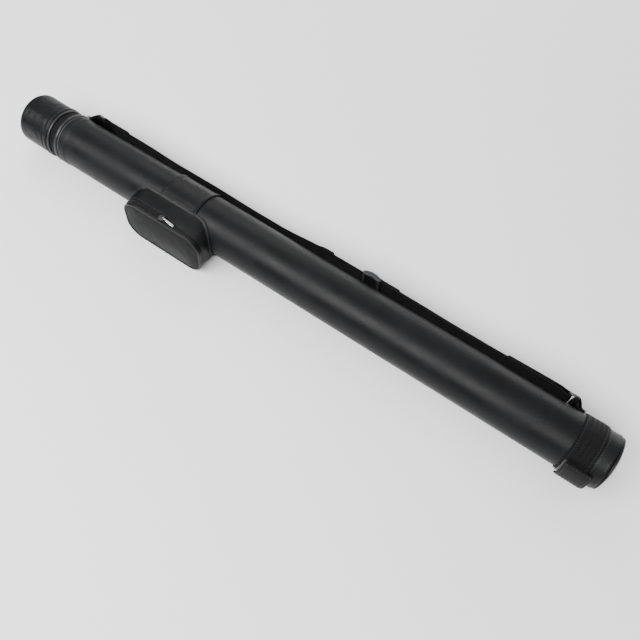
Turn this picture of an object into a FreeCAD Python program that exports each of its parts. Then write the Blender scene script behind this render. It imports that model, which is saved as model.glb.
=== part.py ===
"""Hard tube case for a two-piece cue, with pull-off lid, accessory pouch and shoulder strap.

Every piece is drawn in the case's own frame: X is the station along the tube, measured from
the lid end, Y points to the strap side and Z up, with the tube's axis as the X axis.  A shift
of the finished pieces then lays the case on the ground with its centre over the origin.
"""

import FreeCAD, Part
import os
import Sketcher

SIZES = [
    # whole case
    ("case_length", 838.0),
    ("tube_radius", 32.5),
    ("cover_wall", 1.0),
    ("core_wall", 1.5),
    ("axis_shift", 6.85),
    # mouth of the tube, under and beside the lid
    ("neck_start", 28.5),
    ("neck_end", 104.0),
    ("neck_radius", 29.95),
    ("neck_wall", 1.0),
    ("neck_band_start", 56.2),
    ("neck_band_end", 63.0),
    ("neck_band_radius", 31.7),
    ("bead_start", 63.4),
    ("bead_end", 68.4),
    ("bead_radius", 33.3),
    ("hem_start", 70.2),
    ("hem_end", 83.0),
    ("hem_rise", 0.6),
    # compartments
    ("mouth_plate_start", 30.0),
    ("foam_start", 34.0),
    ("foam_end", 820.0),
    ("butt_bore", 16.6),
    ("butt_offset", 11.8),
    ("shaft_bore", 11.5),
    ("shaft_offset", 17.0),
    ("liner_wall", 0.4),
    ("pad_depth", 3.0),
    # closed end
    ("core_end", 828.0),
    ("base_cap_start", 817.2),
    ("base_corner", 8.0),
    ("base_disc_wall", 1.0),
    ("base_disc_radius", 23.5),
    ("piping_radius", 1.1),
    # webbing band round the closed end and its peel-back tail
    ("band_start", 790.0),
    ("band_end", 816.6),
    ("webbing_wall", 1.6),
    ("hook_wall", 1.4),
    ("tail_start", 793.5),
    ("tail_end", 823.5),
    ("tail_wall", 3.4),
    ("tail_from", 56.0),
    ("tail_span", 64.0),
    # lid
    ("lid_rim", 54.4),
    ("lid_radius", 33.0),
    ("lid_corner", 5.0),
    ("lid_disc_wall", 0.8),
    ("lid_shell_wall", 1.65),
    ("lid_cover_end", 50.8),
    ("lid_hem_start", 44.5),
    ("lid_hem_end", 50.0),
    # shoulder strap
    ("strap_width", 34.0),
    ("strap_plane", 39.0),
    ("ring_wire", 3.2),
    ("ring_pitch", 10.0),
    ("ring_window", 36.0),
    ("upper_bar", 82.0),
    ("lower_bar", 775.0),
    ("loop_clearance", 0.3),
    ("strap_cut", 445.0),
    ("lap_length", 12.0),
    ("fold_length", 40.0),
    ("slider_start", 500.0),
    ("slider_length", 24.0),
    ("slider_rail", 3.6),
    ("return_end", 748.0),
    ("leg_start", 690.0),
    # accessory pouch
    ("pouch_station", 262.0),
    ("pouch_length", 118.0),
    ("pouch_height", 58.4),
    ("pouch_corner", 21.0),
    ("pouch_level", -3.1),
    ("pouch_front", 51.4),
    ("pouch_lean", 7.0),
    ("pouch_taper", 5.5),
    ("pouch_floor", -32.8),
    ("pouch_wall", 1.5),
    ("front_puff", 2.0),
    ("sleeve_start", 238.5),
    ("sleeve_end", 293.5),
    ("sleeve_wall", 1.3),
    # zip round the lid-facing end of the pouch
    ("zip_depth", 6.0),
    ("zip_tape_width", 6.0),
    ("zip_tape_wall", 0.4),
    ("zip_teeth_width", 1.2),
    ("zip_teeth_rise", 0.8),
    ("zip_end", 268.0),
    ("zip_slider_station", 262.5),
    ("zip_slider_length", 9.0),
    ("zip_pull_length", 18.5),
]

doc = FreeCAD.newDocument("cue_case")
sizes = doc.addObject("Spreadsheet::Sheet", "sizes")
for row, (alias, value) in enumerate(SIZES, start=1):
    sizes.set(f"A{row}", alias.replace("_", " "))
    sizes.set(f"B{row}", str(value))
    sizes.setAlias(f"B{row}", alias)
doc.recompute()

ALIASES = sorted((alias for alias, value in SIZES), key=len, reverse=True)
pieces = []


# ---------------------------------------------------------------- drawing helpers

def bound(text):
    """Turn a formula over the sheet's aliases into one that names the sheet."""
    words = []
    word = ""
    for letter in text + " ":
        if letter.isalnum() or letter in "_.":
            word += letter
            continue
        words.append("sizes." + word if word in ALIASES else word)
        words.append(letter)
        word = ""
    return "".join(words).strip()


def number(text):
    """The present value of a formula over the sheet's aliases."""
    value = sizes.evalExpression(bound(text))
    return float(value.Value if hasattr(value, "Value") else value)


def bind(thing, path, text):
    thing.setExpression(path, bound(text))


def new_body(name):
    return doc.addObject("PartDesign::Body", name)


def new_sketch(body, plane, offset="0"):
    """A sketch on one of the body's own origin planes, lifted off it by a formula."""
    sketch = body.newObject("Sketcher::SketchObject", body.Name + "_sketch")
    support = [o for o in body.Origin.OriginFeatures if o.Role == plane][0]
    sketch.AttachmentSupport = [(support, "")]
    sketch.MapMode = "FlatFace"
    if offset != "0":
        bind(sketch, "AttachmentOffset.Base.z", offset)
    return sketch


def pin_point(sketch, geometry, end, across, up):
    """Fix one end of a line or arc at two formulas."""
    for kind, text in (("DistanceX", across), ("DistanceY", up)):
        rule = Sketcher.Constraint(kind, -1, 1, geometry, end, number(text))
        index = sketch.addConstraint(rule)
        bind(sketch, f"Constraints[{index}]", text)


def outline(sketch, points):
    """A closed outline.

    Each point is (across, up) or (across, up, radius): with a radius, the edge that
    leaves this point is an arc of that radius, bulging away from the outline's middle.
    """
    count = len(points)
    spots = [FreeCAD.Vector(number(p[0]), number(p[1]), 0) for p in points]
    middle = sum(spots, FreeCAD.Vector()) * (1.0 / count)
    edges = []
    for index, point in enumerate(points):
        start, end = spots[index], spots[(index + 1) % count]
        if len(point) == 2:
            edges.append((sketch.addGeometry(Part.LineSegment(start, end)), 1, 2))
            continue
        radius = number(point[2].lstrip("-"))
        chord = end - start
        half = (start + end) * 0.5
        side = FreeCAD.Vector(-chord.y, chord.x, 0).normalize()
        if (half - middle).dot(side) < 0:
            side = -side
        if point[2].startswith("-"):
            side = -side
        rise = radius - max(radius ** 2 - (chord.Length / 2) ** 2, 0) ** 0.5
        arc = Part.Arc(start, half + side * rise, end)
        geometry = sketch.addGeometry(arc)
        reversed_arc = (sketch.getPoint(geometry, 1) - start).Length > 1e-6
        edges.append((geometry, 2, 1) if reversed_arc else (geometry, 1, 2))
        index_radius = sketch.addConstraint(Sketcher.Constraint("Radius", geometry, radius))
        bind(sketch, f"Constraints[{index_radius}]", point[2].lstrip("-"))
    for index, point in enumerate(points):
        geometry, first, last = edges[index]
        before, unused, before_last = edges[index - 1]
        sketch.addConstraint(
            Sketcher.Constraint("Coincident", before, before_last, geometry, first))
        pin_point(sketch, geometry, first, point[0], point[1])


def circle(sketch, across, up, radius):
    spot = FreeCAD.Vector(number(across), number(up), 0)
    shape = Part.Circle(spot, FreeCAD.Vector(0, 0, 1), number(radius))
    geometry = sketch.addGeometry(shape)
    pin_point(sketch, geometry, 3, across, up)
    index = sketch.addConstraint(Sketcher.Constraint("Radius", geometry, number(radius)))
    bind(sketch, f"Constraints[{index}]", radius)


def finish(piece, label, turn="0"):
    """Name a finished piece, turn it about the tube's axis and lay it in the case."""
    piece.Label = label
    if turn != "0":
        piece.Placement = FreeCAD.Placement(
            FreeCAD.Vector(), FreeCAD.Rotation(FreeCAD.Vector(1, 0, 0), number(turn)))
        bind(piece, "Placement.Rotation.Angle", turn)
    bind(piece, "Placement.Base.x", "-case_length / 2")
    bind(piece, "Placement.Base.y", "axis_shift")
    bind(piece, "Placement.Base.z", "tube_radius + webbing_wall")
    pieces.append(piece)
    return piece


def turned(name, points, angle="360"):
    """A round piece: an outline of (station, radius) points spun about the tube's axis."""
    body = new_body(name)
    sketch = new_sketch(body, "XY_Plane")
    outline(sketch, points)
    spin = body.newObject("PartDesign::Revolution", name + "_spin")
    spin.Profile = sketch
    spin.ReferenceAxis = (sketch, ["H_Axis"])
    spin.Angle = number(angle)
    bind(spin, "Angle", angle)
    body.Tip = spin
    return body


def hoop(name, station, level, radius):
    """A round cord laid in a ring about the tube's axis."""
    body = new_body(name)
    sketch = new_sketch(body, "XY_Plane")
    circle(sketch, station, level, radius)
    spin = body.newObject("PartDesign::Revolution", name + "_spin")
    spin.Profile = sketch
    spin.ReferenceAxis = (sketch, ["H_Axis"])
    body.Tip = spin
    return body


def tube_wall(name, start, end, inner, outer, angle="360"):
    """A plain round wall between two stations and two radii."""
    corners = [(start, inner), (end, inner), (end, outer), (start, outer)]
    return turned(name, corners, angle)


def pad(body, sketch, length, midplane=False, taper="0"):
    feature = body.newObject("PartDesign::Pad", sketch.Name + "_pad")
    feature.Profile = sketch
    feature.Midplane = midplane
    bind(feature, "Length", length)
    if taper != "0":
        bind(feature, "TaperAngle", taper)
    body.Tip = feature
    return feature


def block(name, low, high):
    """A box between two corners, each given as three formulas."""
    box = doc.addObject("Part::Box", name)
    sides = zip(("Length", "Width", "Height"), "xyz", low, high)
    for side, axis, bottom, top in sides:
        bind(box, side, f"({top}) - ({bottom})")
        bind(box, f"Placement.Base.{axis}", bottom)
    return box


def rod(name, station, across, level, radius, length, axis):
    """A cylinder centred on a point and lying along X, Y or Z."""
    cylinder = doc.addObject("Part::Cylinder", name)
    turn = {"X": ((0, 1, 0), 90), "Y": ((1, 0, 0), -90), "Z": ((0, 0, 1), 0)}[axis]
    cylinder.Placement = FreeCAD.Placement(
        FreeCAD.Vector(), FreeCAD.Rotation(FreeCAD.Vector(*turn[0]), turn[1]))
    bind(cylinder, "Radius", radius)
    bind(cylinder, "Height", length)
    spot = {"X": station, "Y": across, "Z": level}
    for name_of_axis, text in spot.items():
        back = f" - ({length}) / 2" if name_of_axis == axis else ""
        bind(cylinder, "Placement.Base." + name_of_axis.lower(), f"({text}){back}")
    return cylinder


def joined(name, *shapes):
    fuse = doc.addObject("Part::MultiFuse", name)
    fuse.Shapes = list(shapes)
    fuse.Refine = True
    return fuse


def cut(name, base, *tools):
    tool = tools[0] if len(tools) == 1 else joined(name + "_tools", *tools)
    result = doc.addObject("Part::Cut", name)
    result.Base = base
    result.Tool = tool
    return result


def common(name, *shapes):
    result = doc.addObject("Part::MultiCommon", name)
    result.Shapes = list(shapes)
    return result


def rounded(name, base, radius, keep):
    """Round the edges of a shape whose middle passes a test."""
    doc.recompute()
    fillet = doc.addObject("Part::Fillet", name)
    fillet.Base = base
    size = number(radius)
    fillet.Edges = [
        (index, size, size)
        for index, edge in enumerate(base.Shape.Edges, start=1)
        if keep(edge.CenterOfMass)
    ]
    return fillet


# ---------------------------------------------------------------- tube and mouth

def build_tube():
    inner = "tube_radius - cover_wall"
    core = tube_wall("core", "bead_end + 0.2", "core_end", inner + " - core_wall", inner)
    finish(core, "tube_core")
    neck = tube_wall("neck", "neck_start", "neck_end", "neck_radius - neck_wall", "neck_radius")
    finish(neck, "neck_tube")
    band = tube_wall(
        "neckband", "neck_band_start", "neck_band_end", "neck_radius", "neck_band_radius")
    finish(band, "neck_band")
    bead = turned("bead", [
        ("bead_start", "neck_radius"),
        ("bead_end", "neck_radius"),
        ("bead_end", "bead_radius - 2", "(bead_end - bead_start) / 2 + 0.05"),
        ("bead_start", "bead_radius - 2"),
    ])
    finish(bead, "mouth_bead")
    cover = turned("cover", [
        ("hem_start", inner),
        ("base_cap_start - 0.1", inner),
        ("base_cap_start - 0.1", "tube_radius"),
        ("hem_end + 3", "tube_radius"),
        ("hem_end - 2", "tube_radius + hem_rise"),
        ("hem_start + 2", "tube_radius + hem_rise"),
        ("hem_start", "tube_radius - 0.3"),
    ])
    finish(cover, "body_cover")


def build_compartments():
    """Foam core with a wide bore for the butt and a narrow one for the shaft."""
    foam = new_body("foam")
    runs = [
        ("neck_end", "foam_end - neck_end", "tube_radius - cover_wall - core_wall"),
        ("foam_start", "neck_end - foam_start", "neck_radius - neck_wall"),
    ]
    for start, length, radius in runs:
        sketch = new_sketch(foam, "YZ_Plane", start)
        circle(sketch, "0", "0", radius)
        circle(sketch, "butt_offset", "0", "butt_bore")
        circle(sketch, "-shaft_offset", "0", "shaft_bore")
        pad(foam, sketch, length)
    finish(foam, "foam_core")

    plate = new_body("plate")
    sketch = new_sketch(plate, "YZ_Plane", "mouth_plate_start")
    circle(sketch, "0", "0", "neck_radius - neck_wall")
    circle(sketch, "butt_offset", "0", "butt_bore - liner_wall")
    circle(sketch, "-shaft_offset", "0", "shaft_bore - liner_wall")
    pad(plate, sketch, "foam_start - mouth_plate_start")
    finish(plate, "mouth_plate")

    for name, offset, bore in (
        ("butt_liner", "butt_offset", "butt_bore"),
        ("shaft_liner", "-shaft_offset", "shaft_bore"),
    ):
        liner = new_body(name + "_body")
        sketch = new_sketch(liner, "YZ_Plane", "foam_start")
        circle(sketch, offset, "0", bore)
        circle(sketch, offset, "0", bore + " - liner_wall")
        pad(liner, sketch, "foam_end - foam_start")
        finish(liner, name)

    discs = [
        rod(name, "foam_end - pad_depth / 2", offset, "0", bore + " - liner_wall",
            "pad_depth", "X")
        for name, offset, bore in (
            ("butt_pad", "butt_offset", "butt_bore"),
            ("shaft_pad", "-shaft_offset", "shaft_bore"),
        )
    ]
    finish(joined("pads", *discs), "bottom_pads")


# ---------------------------------------------------------------- closed end

def build_base():
    inner = "tube_radius - cover_wall"
    corner_station = "case_length - base_disc_wall - base_corner"
    corner_level = "tube_radius - base_corner"
    plug = turned("plug", [
        ("foam_end + 0.1", "0"),
        ("foam_end + 0.1", inner + " - core_wall"),
        (corner_station, inner + " - core_wall"),
        ("case_length - base_disc_wall - cover_wall - 0.2", corner_level + " - 1"),
        ("case_length - base_disc_wall - cover_wall - 0.2", "0"),
    ])
    finish(plug, "base_plug")

    shell = turned("base_shell", [
        ("base_cap_start", inner),
        (corner_station, inner, "base_corner - cover_wall"),
        ("case_length - base_disc_wall - cover_wall", corner_level),
        ("case_length - base_disc_wall - cover_wall", "0"),
        ("case_length - base_disc_wall", "0"),
        ("case_length - base_disc_wall", corner_level, "base_corner"),
        (corner_station, "tube_radius"),
        ("base_cap_start", "tube_radius"),
    ])
    piping_station = corner_station + " + base_corner * cos(50)"
    piping_level = corner_level + " + base_corner * sin(50)"
    groove = hoop("groove", piping_station, piping_level, "piping_radius + 0.02")
    finish(cut("base_cut", shell, groove), "base_cap")
    finish(hoop("piping", piping_station, piping_level, "piping_radius"), "base_piping")

    disc = tube_wall("disc", "case_length - base_disc_wall", "case_length", "0",
                     "base_disc_radius")
    finish(disc, "base_disc")


def build_band():
    """Webbing wrapped round the closed end, closed by a hook patch under a folded tail."""
    top = "tube_radius + webbing_wall"
    finish(tube_wall("band", "band_start", "band_end", "tube_radius", top), "webbing_band")
    patch = tube_wall("patch", "band_start + 2", "band_end - 1", top, top + " + hook_wall",
                      "tail_span - 4")
    finish(patch, "hook_patch", "90 + tail_from + 2")
    low = top + " + hook_wall + 0.3"
    tail = tube_wall("tail", "tail_start", "tail_end", low, low + " + tail_wall", "tail_span")
    finish(tail, "band_tail", "90 + tail_from")


# ---------------------------------------------------------------- lid

def build_lid():
    face = "lid_disc_wall"
    cover = turned("lidcover", [
        (face, "0"),
        (face + " + cover_wall", "0"),
        (face + " + cover_wall", "lid_radius - lid_corner", "lid_corner - cover_wall"),
        (face + " + lid_corner", "lid_radius - cover_wall"),
        ("lid_cover_end", "lid_radius - cover_wall"),
        ("lid_cover_end", "lid_radius"),
        (face + " + lid_corner", "lid_radius", "lid_corner"),
        (face, "lid_radius - lid_corner"),
    ])
    finish(cover, "lid_cover")
    back = face + " + cover_wall + 0.1"
    outer = "lid_radius - cover_wall - 0.1"
    shell = turned("lidshell", [
        (back, "0"),
        (back + " + 2.5", "0"),
        (back + " + 2.5", outer + " - lid_shell_wall"),
        ("lid_cover_end", outer + " - lid_shell_wall"),
        ("lid_cover_end", outer),
        (back + " + 3", outer),
        (back, outer + " - 3"),
    ])
    finish(shell, "lid_shell")
    foam = tube_wall("lidpad", back + " + 2.6", back + " + 7", "0",
                     outer + " - lid_shell_wall - 0.1")
    finish(foam, "lid_pad")
    finish(tube_wall("liddisc", "0", "lid_disc_wall", "0", "24"), "lid_end_disc")
    hem = tube_wall("lidhem", "lid_hem_start", "lid_hem_end", "lid_radius", "lid_radius + 0.6")
    finish(hem, "lid_hem")
    bead = turned("lidbead", [
        ("lid_cover_end + 0.1", outer + " - lid_shell_wall"),
        ("lid_rim", outer + " - lid_shell_wall"),
        ("lid_rim", "lid_radius - 1.3", "(lid_rim - lid_cover_end - 0.1) / 2 + 0.05"),
        ("lid_cover_end + 0.1", "lid_radius - 1.3"),
    ])
    finish(bead, "lid_bead")


# ---------------------------------------------------------------- shoulder strap

def keyhole(name, station, thickness, width, *extra):
    """A sewn webbing loop round a bar along Z, with whatever webbing leads away from it."""
    bar = "ring_wire / 2 + loop_clearance"
    eye = rod(name + "_eye", station, "strap_plane", "0", f"{bar} + {thickness}", width, "Z")
    hole = rod(name + "_hole", station, "strap_plane", "0", bar, width + " + 2", "Z")
    return cut(name, joined(name + "_all", eye, *extra), hole)


def webbing_side(name, points, width):
    """Webbing seen edge-on: an outline in X and Y, as wide as the webbing in Z."""
    body = new_body(name)
    sketch = new_sketch(body, "XY_Plane")
    outline(sketch, points)
    pad(body, sketch, width, midplane=True)
    return body


def build_tabs():
    """Tabs sewn to the strap side of the tube, each looped round its ring."""
    span = "57"
    for name, bar, root, side, foot in (
        ("upper", "upper_bar", "hem_start", 1, "tube_radius + hem_rise + 0.1"),
        ("lower", "lower_bar", "band_start - 0.5", -1, "tube_radius + 0.05"),
    ):
        sign = "+" if side > 0 else "-"
        start, end = (root, f"{root} {sign} 10")[::side]
        saddle = tube_wall(name + "_saddle", start, end, foot, foot + " + webbing_wall", span)
        saddle.Placement = FreeCAD.Placement(
            FreeCAD.Vector(), FreeCAD.Rotation(FreeCAD.Vector(1, 0, 0), -number(span) / 2))
        bridge = webbing_side(name + "_bridge", [
            (f"{root}", foot),
            (f"{root} {sign} 8", foot),
            (f"{bar} {sign} 1", "strap_plane - 3.2"),
            (f"{bar} {sign} -2.6", "strap_plane + 2"),
            (f"{root} {sign} 3", foot + " + 2.6"),
            (f"{root}", foot + " + 1.6"),
        ], "strap_width")
        tab = keyhole(name + "_key", bar, "webbing_wall", "strap_width", saddle, bridge)
        finish(tab, name + "_tab")


def build_rings():
    """Flat rectangular rings between each tab and its end of the strap."""
    for name, low in (("upper", "upper_bar"), ("lower", "lower_bar - ring_pitch")):
        half = "ring_wire / 2"
        outer = block(
            name + "_plate",
            (f"{low} - {half}", f"strap_plane - {half}", f"-ring_window / 2 - ring_wire"),
            (f"{low} + ring_pitch + {half}", f"strap_plane + {half}",
             "ring_window / 2 + ring_wire"))
        window = block(
            name + "_window",
            (f"{low} + {half}", "strap_plane - ring_wire", "-ring_window / 2"),
            (f"{low} + ring_pitch - {half}", "strap_plane + ring_wire", "ring_window / 2"))
        frame = cut(name + "_frame", outer, window)
        ring = rounded(name + "_round", frame, "ring_wire / 2 - 0.15", lambda spot: True)
        finish(ring, name + "_ring")


def build_strap():
    """Two runs of webbing that part at the strap's bend, and the adjuster that rides on them."""
    edge = "strap_width / 2"
    inner = "strap_plane - webbing_wall / 2"
    outer = "strap_plane + webbing_wall / 2"
    upper_eye = "upper_bar + ring_pitch"
    lower_eye = "lower_bar - ring_pitch"

    run = block("upper_run", (f"{upper_eye} + 2.2", inner, f"-({edge})"),
                ("strap_cut", outer, edge))
    fold = block("upper_fold", (f"{upper_eye} + 2.2", inner, f"-({edge})"),
                 (f"{upper_eye} + fold_length", f"{outer} + webbing_wall", edge))
    lap = webbing_side("upper_lap", [
        ("strap_cut - lap_length", outer + " - 0.2"),
        ("strap_cut - 0.2", outer + " - 0.2"),
        ("strap_cut", outer + " + 0.4"),
        ("strap_cut + lap_length", outer + " + 0.4"),
        ("strap_cut + lap_length", outer + " + 0.4 + webbing_wall"),
        ("strap_cut - lap_length", outer + " + 0.4 + webbing_wall"),
    ], "strap_width")
    finish(keyhole("upper_loop", upper_eye, "webbing_wall", "strap_width", run, fold, lap),
           "upper_strap")

    run = block("lower_run", ("strap_cut + 1", inner, f"-({edge})"),
                (f"{lower_eye} - 2.2", outer, edge))
    leg = webbing_side("lower_leg", [
        ("leg_start", outer + " + 2.1"),
        (f"{lower_eye} - 8", outer + " + 2.1"),
        (f"{lower_eye} - 2.2", outer),
        (f"{lower_eye}", outer + " + 2"),
        (f"{lower_eye} - 2", outer + " + 3.2"),
        (f"{lower_eye} - 8", outer + " + 3.6"),
        ("leg_start", outer + " + 3.6"),
    ], "strap_width")
    finish(keyhole("lower_loop", lower_eye, "webbing_wall", "strap_width", run, leg),
           "lower_strap")

    middle = "slider_start + slider_length / 2"
    near, far = f"{outer} + 0.3", f"{outer} + 1.8"
    back = webbing_side("return_run", [
        (f"{middle} + 2", near), ("return_end", near), ("return_end", far),
        (f"{middle} + 2", far)], "strap_width")
    finish(back, "return_strap")

    low = f"{inner} - 2"
    high = f"{outer} + 3.6"
    rails = [
        block(f"slider_rail_{name}",
              ("slider_start", low, f"{near}"),
              ("slider_start + slider_length", high, f"{far}"))
        for name, near, far in (
            ("top", f"{edge} + 0.4", f"{edge} + 0.4 + slider_rail"),
            ("bottom", f"-({edge}) - 0.4 - slider_rail", f"-({edge}) - 0.4"),
        )
    ]
    bars = [
        block(f"slider_bar_{name}", (near, level, f"-({edge}) - 1"),
              (f"{near} + 3.2", f"{level} + 1.7", f"{edge} + 1"))
        for name, near, level in (
            ("near", "slider_start", low),
            ("middle", f"{middle} - 1.6", f"{outer} + 1.9"),
            ("far", "slider_start + slider_length - 3.2", low),
        )
    ]
    finish(joined("slider_frame", *rails, *bars), "strap_slider")


# ---------------------------------------------------------------- accessory pouch

def pouch_slug(name, grow):
    """The pouch's outer form as a solid slug: it narrows towards its front, flat underneath."""
    swell = "pouch_front * tan(pouch_taper)"
    wide = f"(pouch_length / 2 + {swell} + {grow})"
    tall = f"(pouch_height / 2 + {swell} + {grow})"
    bend = f"pouch_corner + {swell} + {grow}"
    left, right = f"pouch_station - {wide}", f"pouch_station + {wide}"
    low, high = f"pouch_level - {tall}", f"pouch_level + {tall}"
    body = new_body(name)
    sketch = new_sketch(body, "XZ_Plane")
    outline(sketch, [
        (f"{left} + {bend}", low),
        (f"{right} - ({bend})", low, bend),
        (right, f"{low} + {bend}"),
        (right, f"{high} - ({bend})", bend),
        (f"{right} - ({bend})", high),
        (f"{left} + {bend}", high, bend),
        (left, f"{high} - ({bend})"),
        (left, f"{low} + {bend}", bend),
    ])
    pad(body, sketch, "70", taper="-pouch_taper")
    space = block(name + "_space", (left + " - 9", "-80", f"pouch_floor - ({grow})"),
                  (right + " + 9", "9", "60"))
    return common(name + "_flat", body, space)


def pouch_slice(name, near, far, until="pouch_station + 90"):
    """A leaning slice of space, between two depths behind the pouch's front plane."""
    def edge(depth, level):
        return f"-(pouch_front - ({depth}) / cos(pouch_lean) - ({level}) * tan(pouch_lean))"

    body = new_body(name)
    sketch = new_sketch(body, "YZ_Plane", "pouch_station - 90")
    outline(sketch, [
        (edge(near, "-50"), "-50"),
        (edge(far, "-50"), "-50"),
        (edge(far, "50"), "50"),
        (edge(near, "50"), "50"),
    ])
    pad(body, sketch, f"{until} - pouch_station + 90")
    return body


def pouch_wall(name, inner, outer, near, far, *more):
    """A wall round the pouch between two offsets and two depths."""
    ring = cut(name + "_ring", pouch_slug(name + "_out", outer), pouch_slug(name + "_in", inner))
    return common(name, ring, pouch_slice(name + "_slice", near, far), *more)


def tube_slug(name, radius):
    return rod(name, "pouch_station", "0", "0", radius, "200", "X")


def build_pouch():
    outside = "tube_radius + sleeve_wall"
    finish(tube_wall("sleeve", "sleeve_start", "sleeve_end", "tube_radius + 0.02", outside),
           "pouch_sleeve")

    sheet = tube_wall("sheet", "pouch_station - 80", "pouch_station + 80", outside + " + 0.1",
                      outside + " + 1.1")
    back = common("back", sheet, pouch_slug("back_slug", "0"))
    finish(back, "pouch_back")

    split = "zip_depth"
    clear = outside + " + 1.2"
    rear = pouch_wall("rear", "-pouch_wall", "0", split + " + 0.2", "60")
    finish(cut("rear_cut", rear, tube_slug("rear_tube", clear)), "pouch_gusset")
    flap = pouch_wall("flap", "-pouch_wall", "0", "pouch_wall + 0.05", split + " - 0.2")
    finish(flap, "flap_gusset")

    panel = common("panel", pouch_slug("panel_slug", "0"),
                   pouch_slice("panel_slice", "-front_puff", "pouch_wall"))
    doc.recompute()
    front_edge = min(vertex.Point.y for vertex in panel.Shape.Vertexes)
    lean = number("tan(pouch_lean)")

    def on_face(spot):
        plane = -(number("pouch_front + front_puff / cos(pouch_lean)") - spot.z * lean)
        return abs(spot.y - plane) < 0.2 and spot.y > front_edge - 1

    finish(rounded("panel_round", panel, "front_puff - 0.2", on_face), "pouch_front")
    finish(pouch_wall("cord", "0.02", "1.0", "0.2", "2.4"), "pouch_piping")


def build_zip():
    """Zip round the lid-facing end: half on the pouch, half on the flap that opens."""
    until = ("pouch_station - 90", "-60", "-60")
    tape = "zip_tape_wall"
    teeth = "zip_tape_wall + zip_teeth_rise"

    def window(name, back):
        return block(name, until, (f"zip_end - {back}", "60", "60"))

    rear = pouch_wall("tape_rear_all", "0.02", tape, "zip_depth + 0.2",
                      "zip_depth + zip_tape_width", window("tape_rear_end", "0"))
    clear = "tube_radius + sleeve_wall + 1.2"
    finish(cut("tape_rear", rear, tube_slug("tape_rear_tube", clear)), "zip_tape_rear")
    front = pouch_wall("tape_front", "0.02", tape, "2.5", "zip_depth - 0.2",
                       window("tape_front_end", "0"))
    finish(front, "zip_tape_front")
    rear = pouch_wall("teeth_rear", tape + " + 0.02", teeth, "zip_depth + 0.05",
                      "zip_depth + zip_teeth_width", window("teeth_rear_end", "2"))
    finish(rear, "zip_teeth_rear")
    front = pouch_wall("teeth_front", tape + " + 0.02", teeth, "zip_depth - zip_teeth_width",
                       "zip_depth - 0.05", window("teeth_front_end", "2"))
    finish(front, "zip_teeth_front")

    top = "(pouch_level + pouch_height / 2)"
    depth = "(pouch_front - zip_depth - 25.5 * tan(pouch_lean))"
    level = f"({top} + (pouch_front - {depth}) * tan(pouch_taper) + {teeth} + 0.5)"
    half = "zip_slider_length / 2"
    plate = block("zip_plate",
                  (f"zip_slider_station - {half}", f"-{depth} - 3.4", level),
                  (f"zip_slider_station + {half}", f"-{depth} + 3.4", f"{level} + 1.2"))
    ears = [
        block(f"zip_ear_{name}",
              (f"zip_slider_station + {half} - 3.2", f"-{depth} {near}", f"{level} + 1.1"),
              (f"zip_slider_station + {half}", f"-{depth} {far}", f"{level} + 3.6"))
        for name, near, far in (("back", "+ 2", "+ 2.9"), ("front", "- 2.9", "- 2"))
    ]
    pin_station = f"zip_slider_station + {half} - 1.6"
    pin_level = f"{level} + 2.6"
    pin = rod("zip_pin", pin_station, f"-{depth}", pin_level, "0.5", "5.6", "Y")
    finish(joined("zip_slider_all", plate, *ears, pin), "zip_slider")

    barrel = rod("pull_barrel", pin_station, f"-{depth}", pin_level, "1.1", "3.4", "Y")
    blade = block("pull_blade", (pin_station, f"-{depth} - 1.3", f"{pin_level} - 0.45"),
                  (f"{pin_station} + 4.5", f"-{depth} + 1.3", f"{pin_level} + 0.45"))
    leaf = new_body("pull_leaf")
    sketch = new_sketch(leaf, "XY_Plane", f"{pin_level} - 0.5")
    outline(sketch, [
        (f"{pin_station} + 3.5", f"-{depth} - 1.4"),
        (f"{pin_station} + zip_pull_length - 2.4", f"-{depth} - 2.4", "2.45"),
        (f"{pin_station} + zip_pull_length - 2.4", f"-{depth} + 2.4"),
        (f"{pin_station} + 3.5", f"-{depth} + 1.4"),
    ])
    pad(leaf, sketch, "1")
    hole = rod("pull_hole", pin_station, f"-{depth}", pin_level, "0.56", "6", "Y")
    finish(cut("pull_cut", joined("pull_all", barrel, blade, leaf), hole), "zip_pull")


# ---------------------------------------------------------------- build and write

def check_and_export():
    doc.recompute()
    for thing in doc.Objects:
        if "Invalid" in thing.State or "Error" in thing.State:
            raise RuntimeError(f"{thing.Label} failed: {thing.State}")
    os.makedirs("parts", exist_ok=True)
    whole = FreeCAD.BoundBox()
    for piece in pieces:
        shape = piece.Shape
        if shape.isNull() or not shape.isValid() or not shape.Solids:
            raise RuntimeError(f"{piece.Label} has no valid solid")
        whole.add(shape.optimalBoundingBox())
        shape.exportStep(f"parts/{piece.Label}.step")
    print(f"{len(pieces)} pieces, box", whole)


build_tube()
build_compartments()
build_base()
build_band()
build_lid()
build_tabs()
build_rings()
build_strap()
build_pouch()
build_zip()
check_and_export()
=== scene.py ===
"""Looks of a hard tube case for a two-piece cue.

The case lies along X with its lid at -X, its pouch at -Y and its shoulder strap at +Y.
Shapes are worked out in millimetres from the lid end of the tube's axis: a station along
the tube, a distance to the back of the axis and a level above it.
"""

import math

import bmesh
import bpy
from bpy.props import FloatProperty, FloatVectorProperty, PointerProperty
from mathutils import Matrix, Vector, noise


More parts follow.
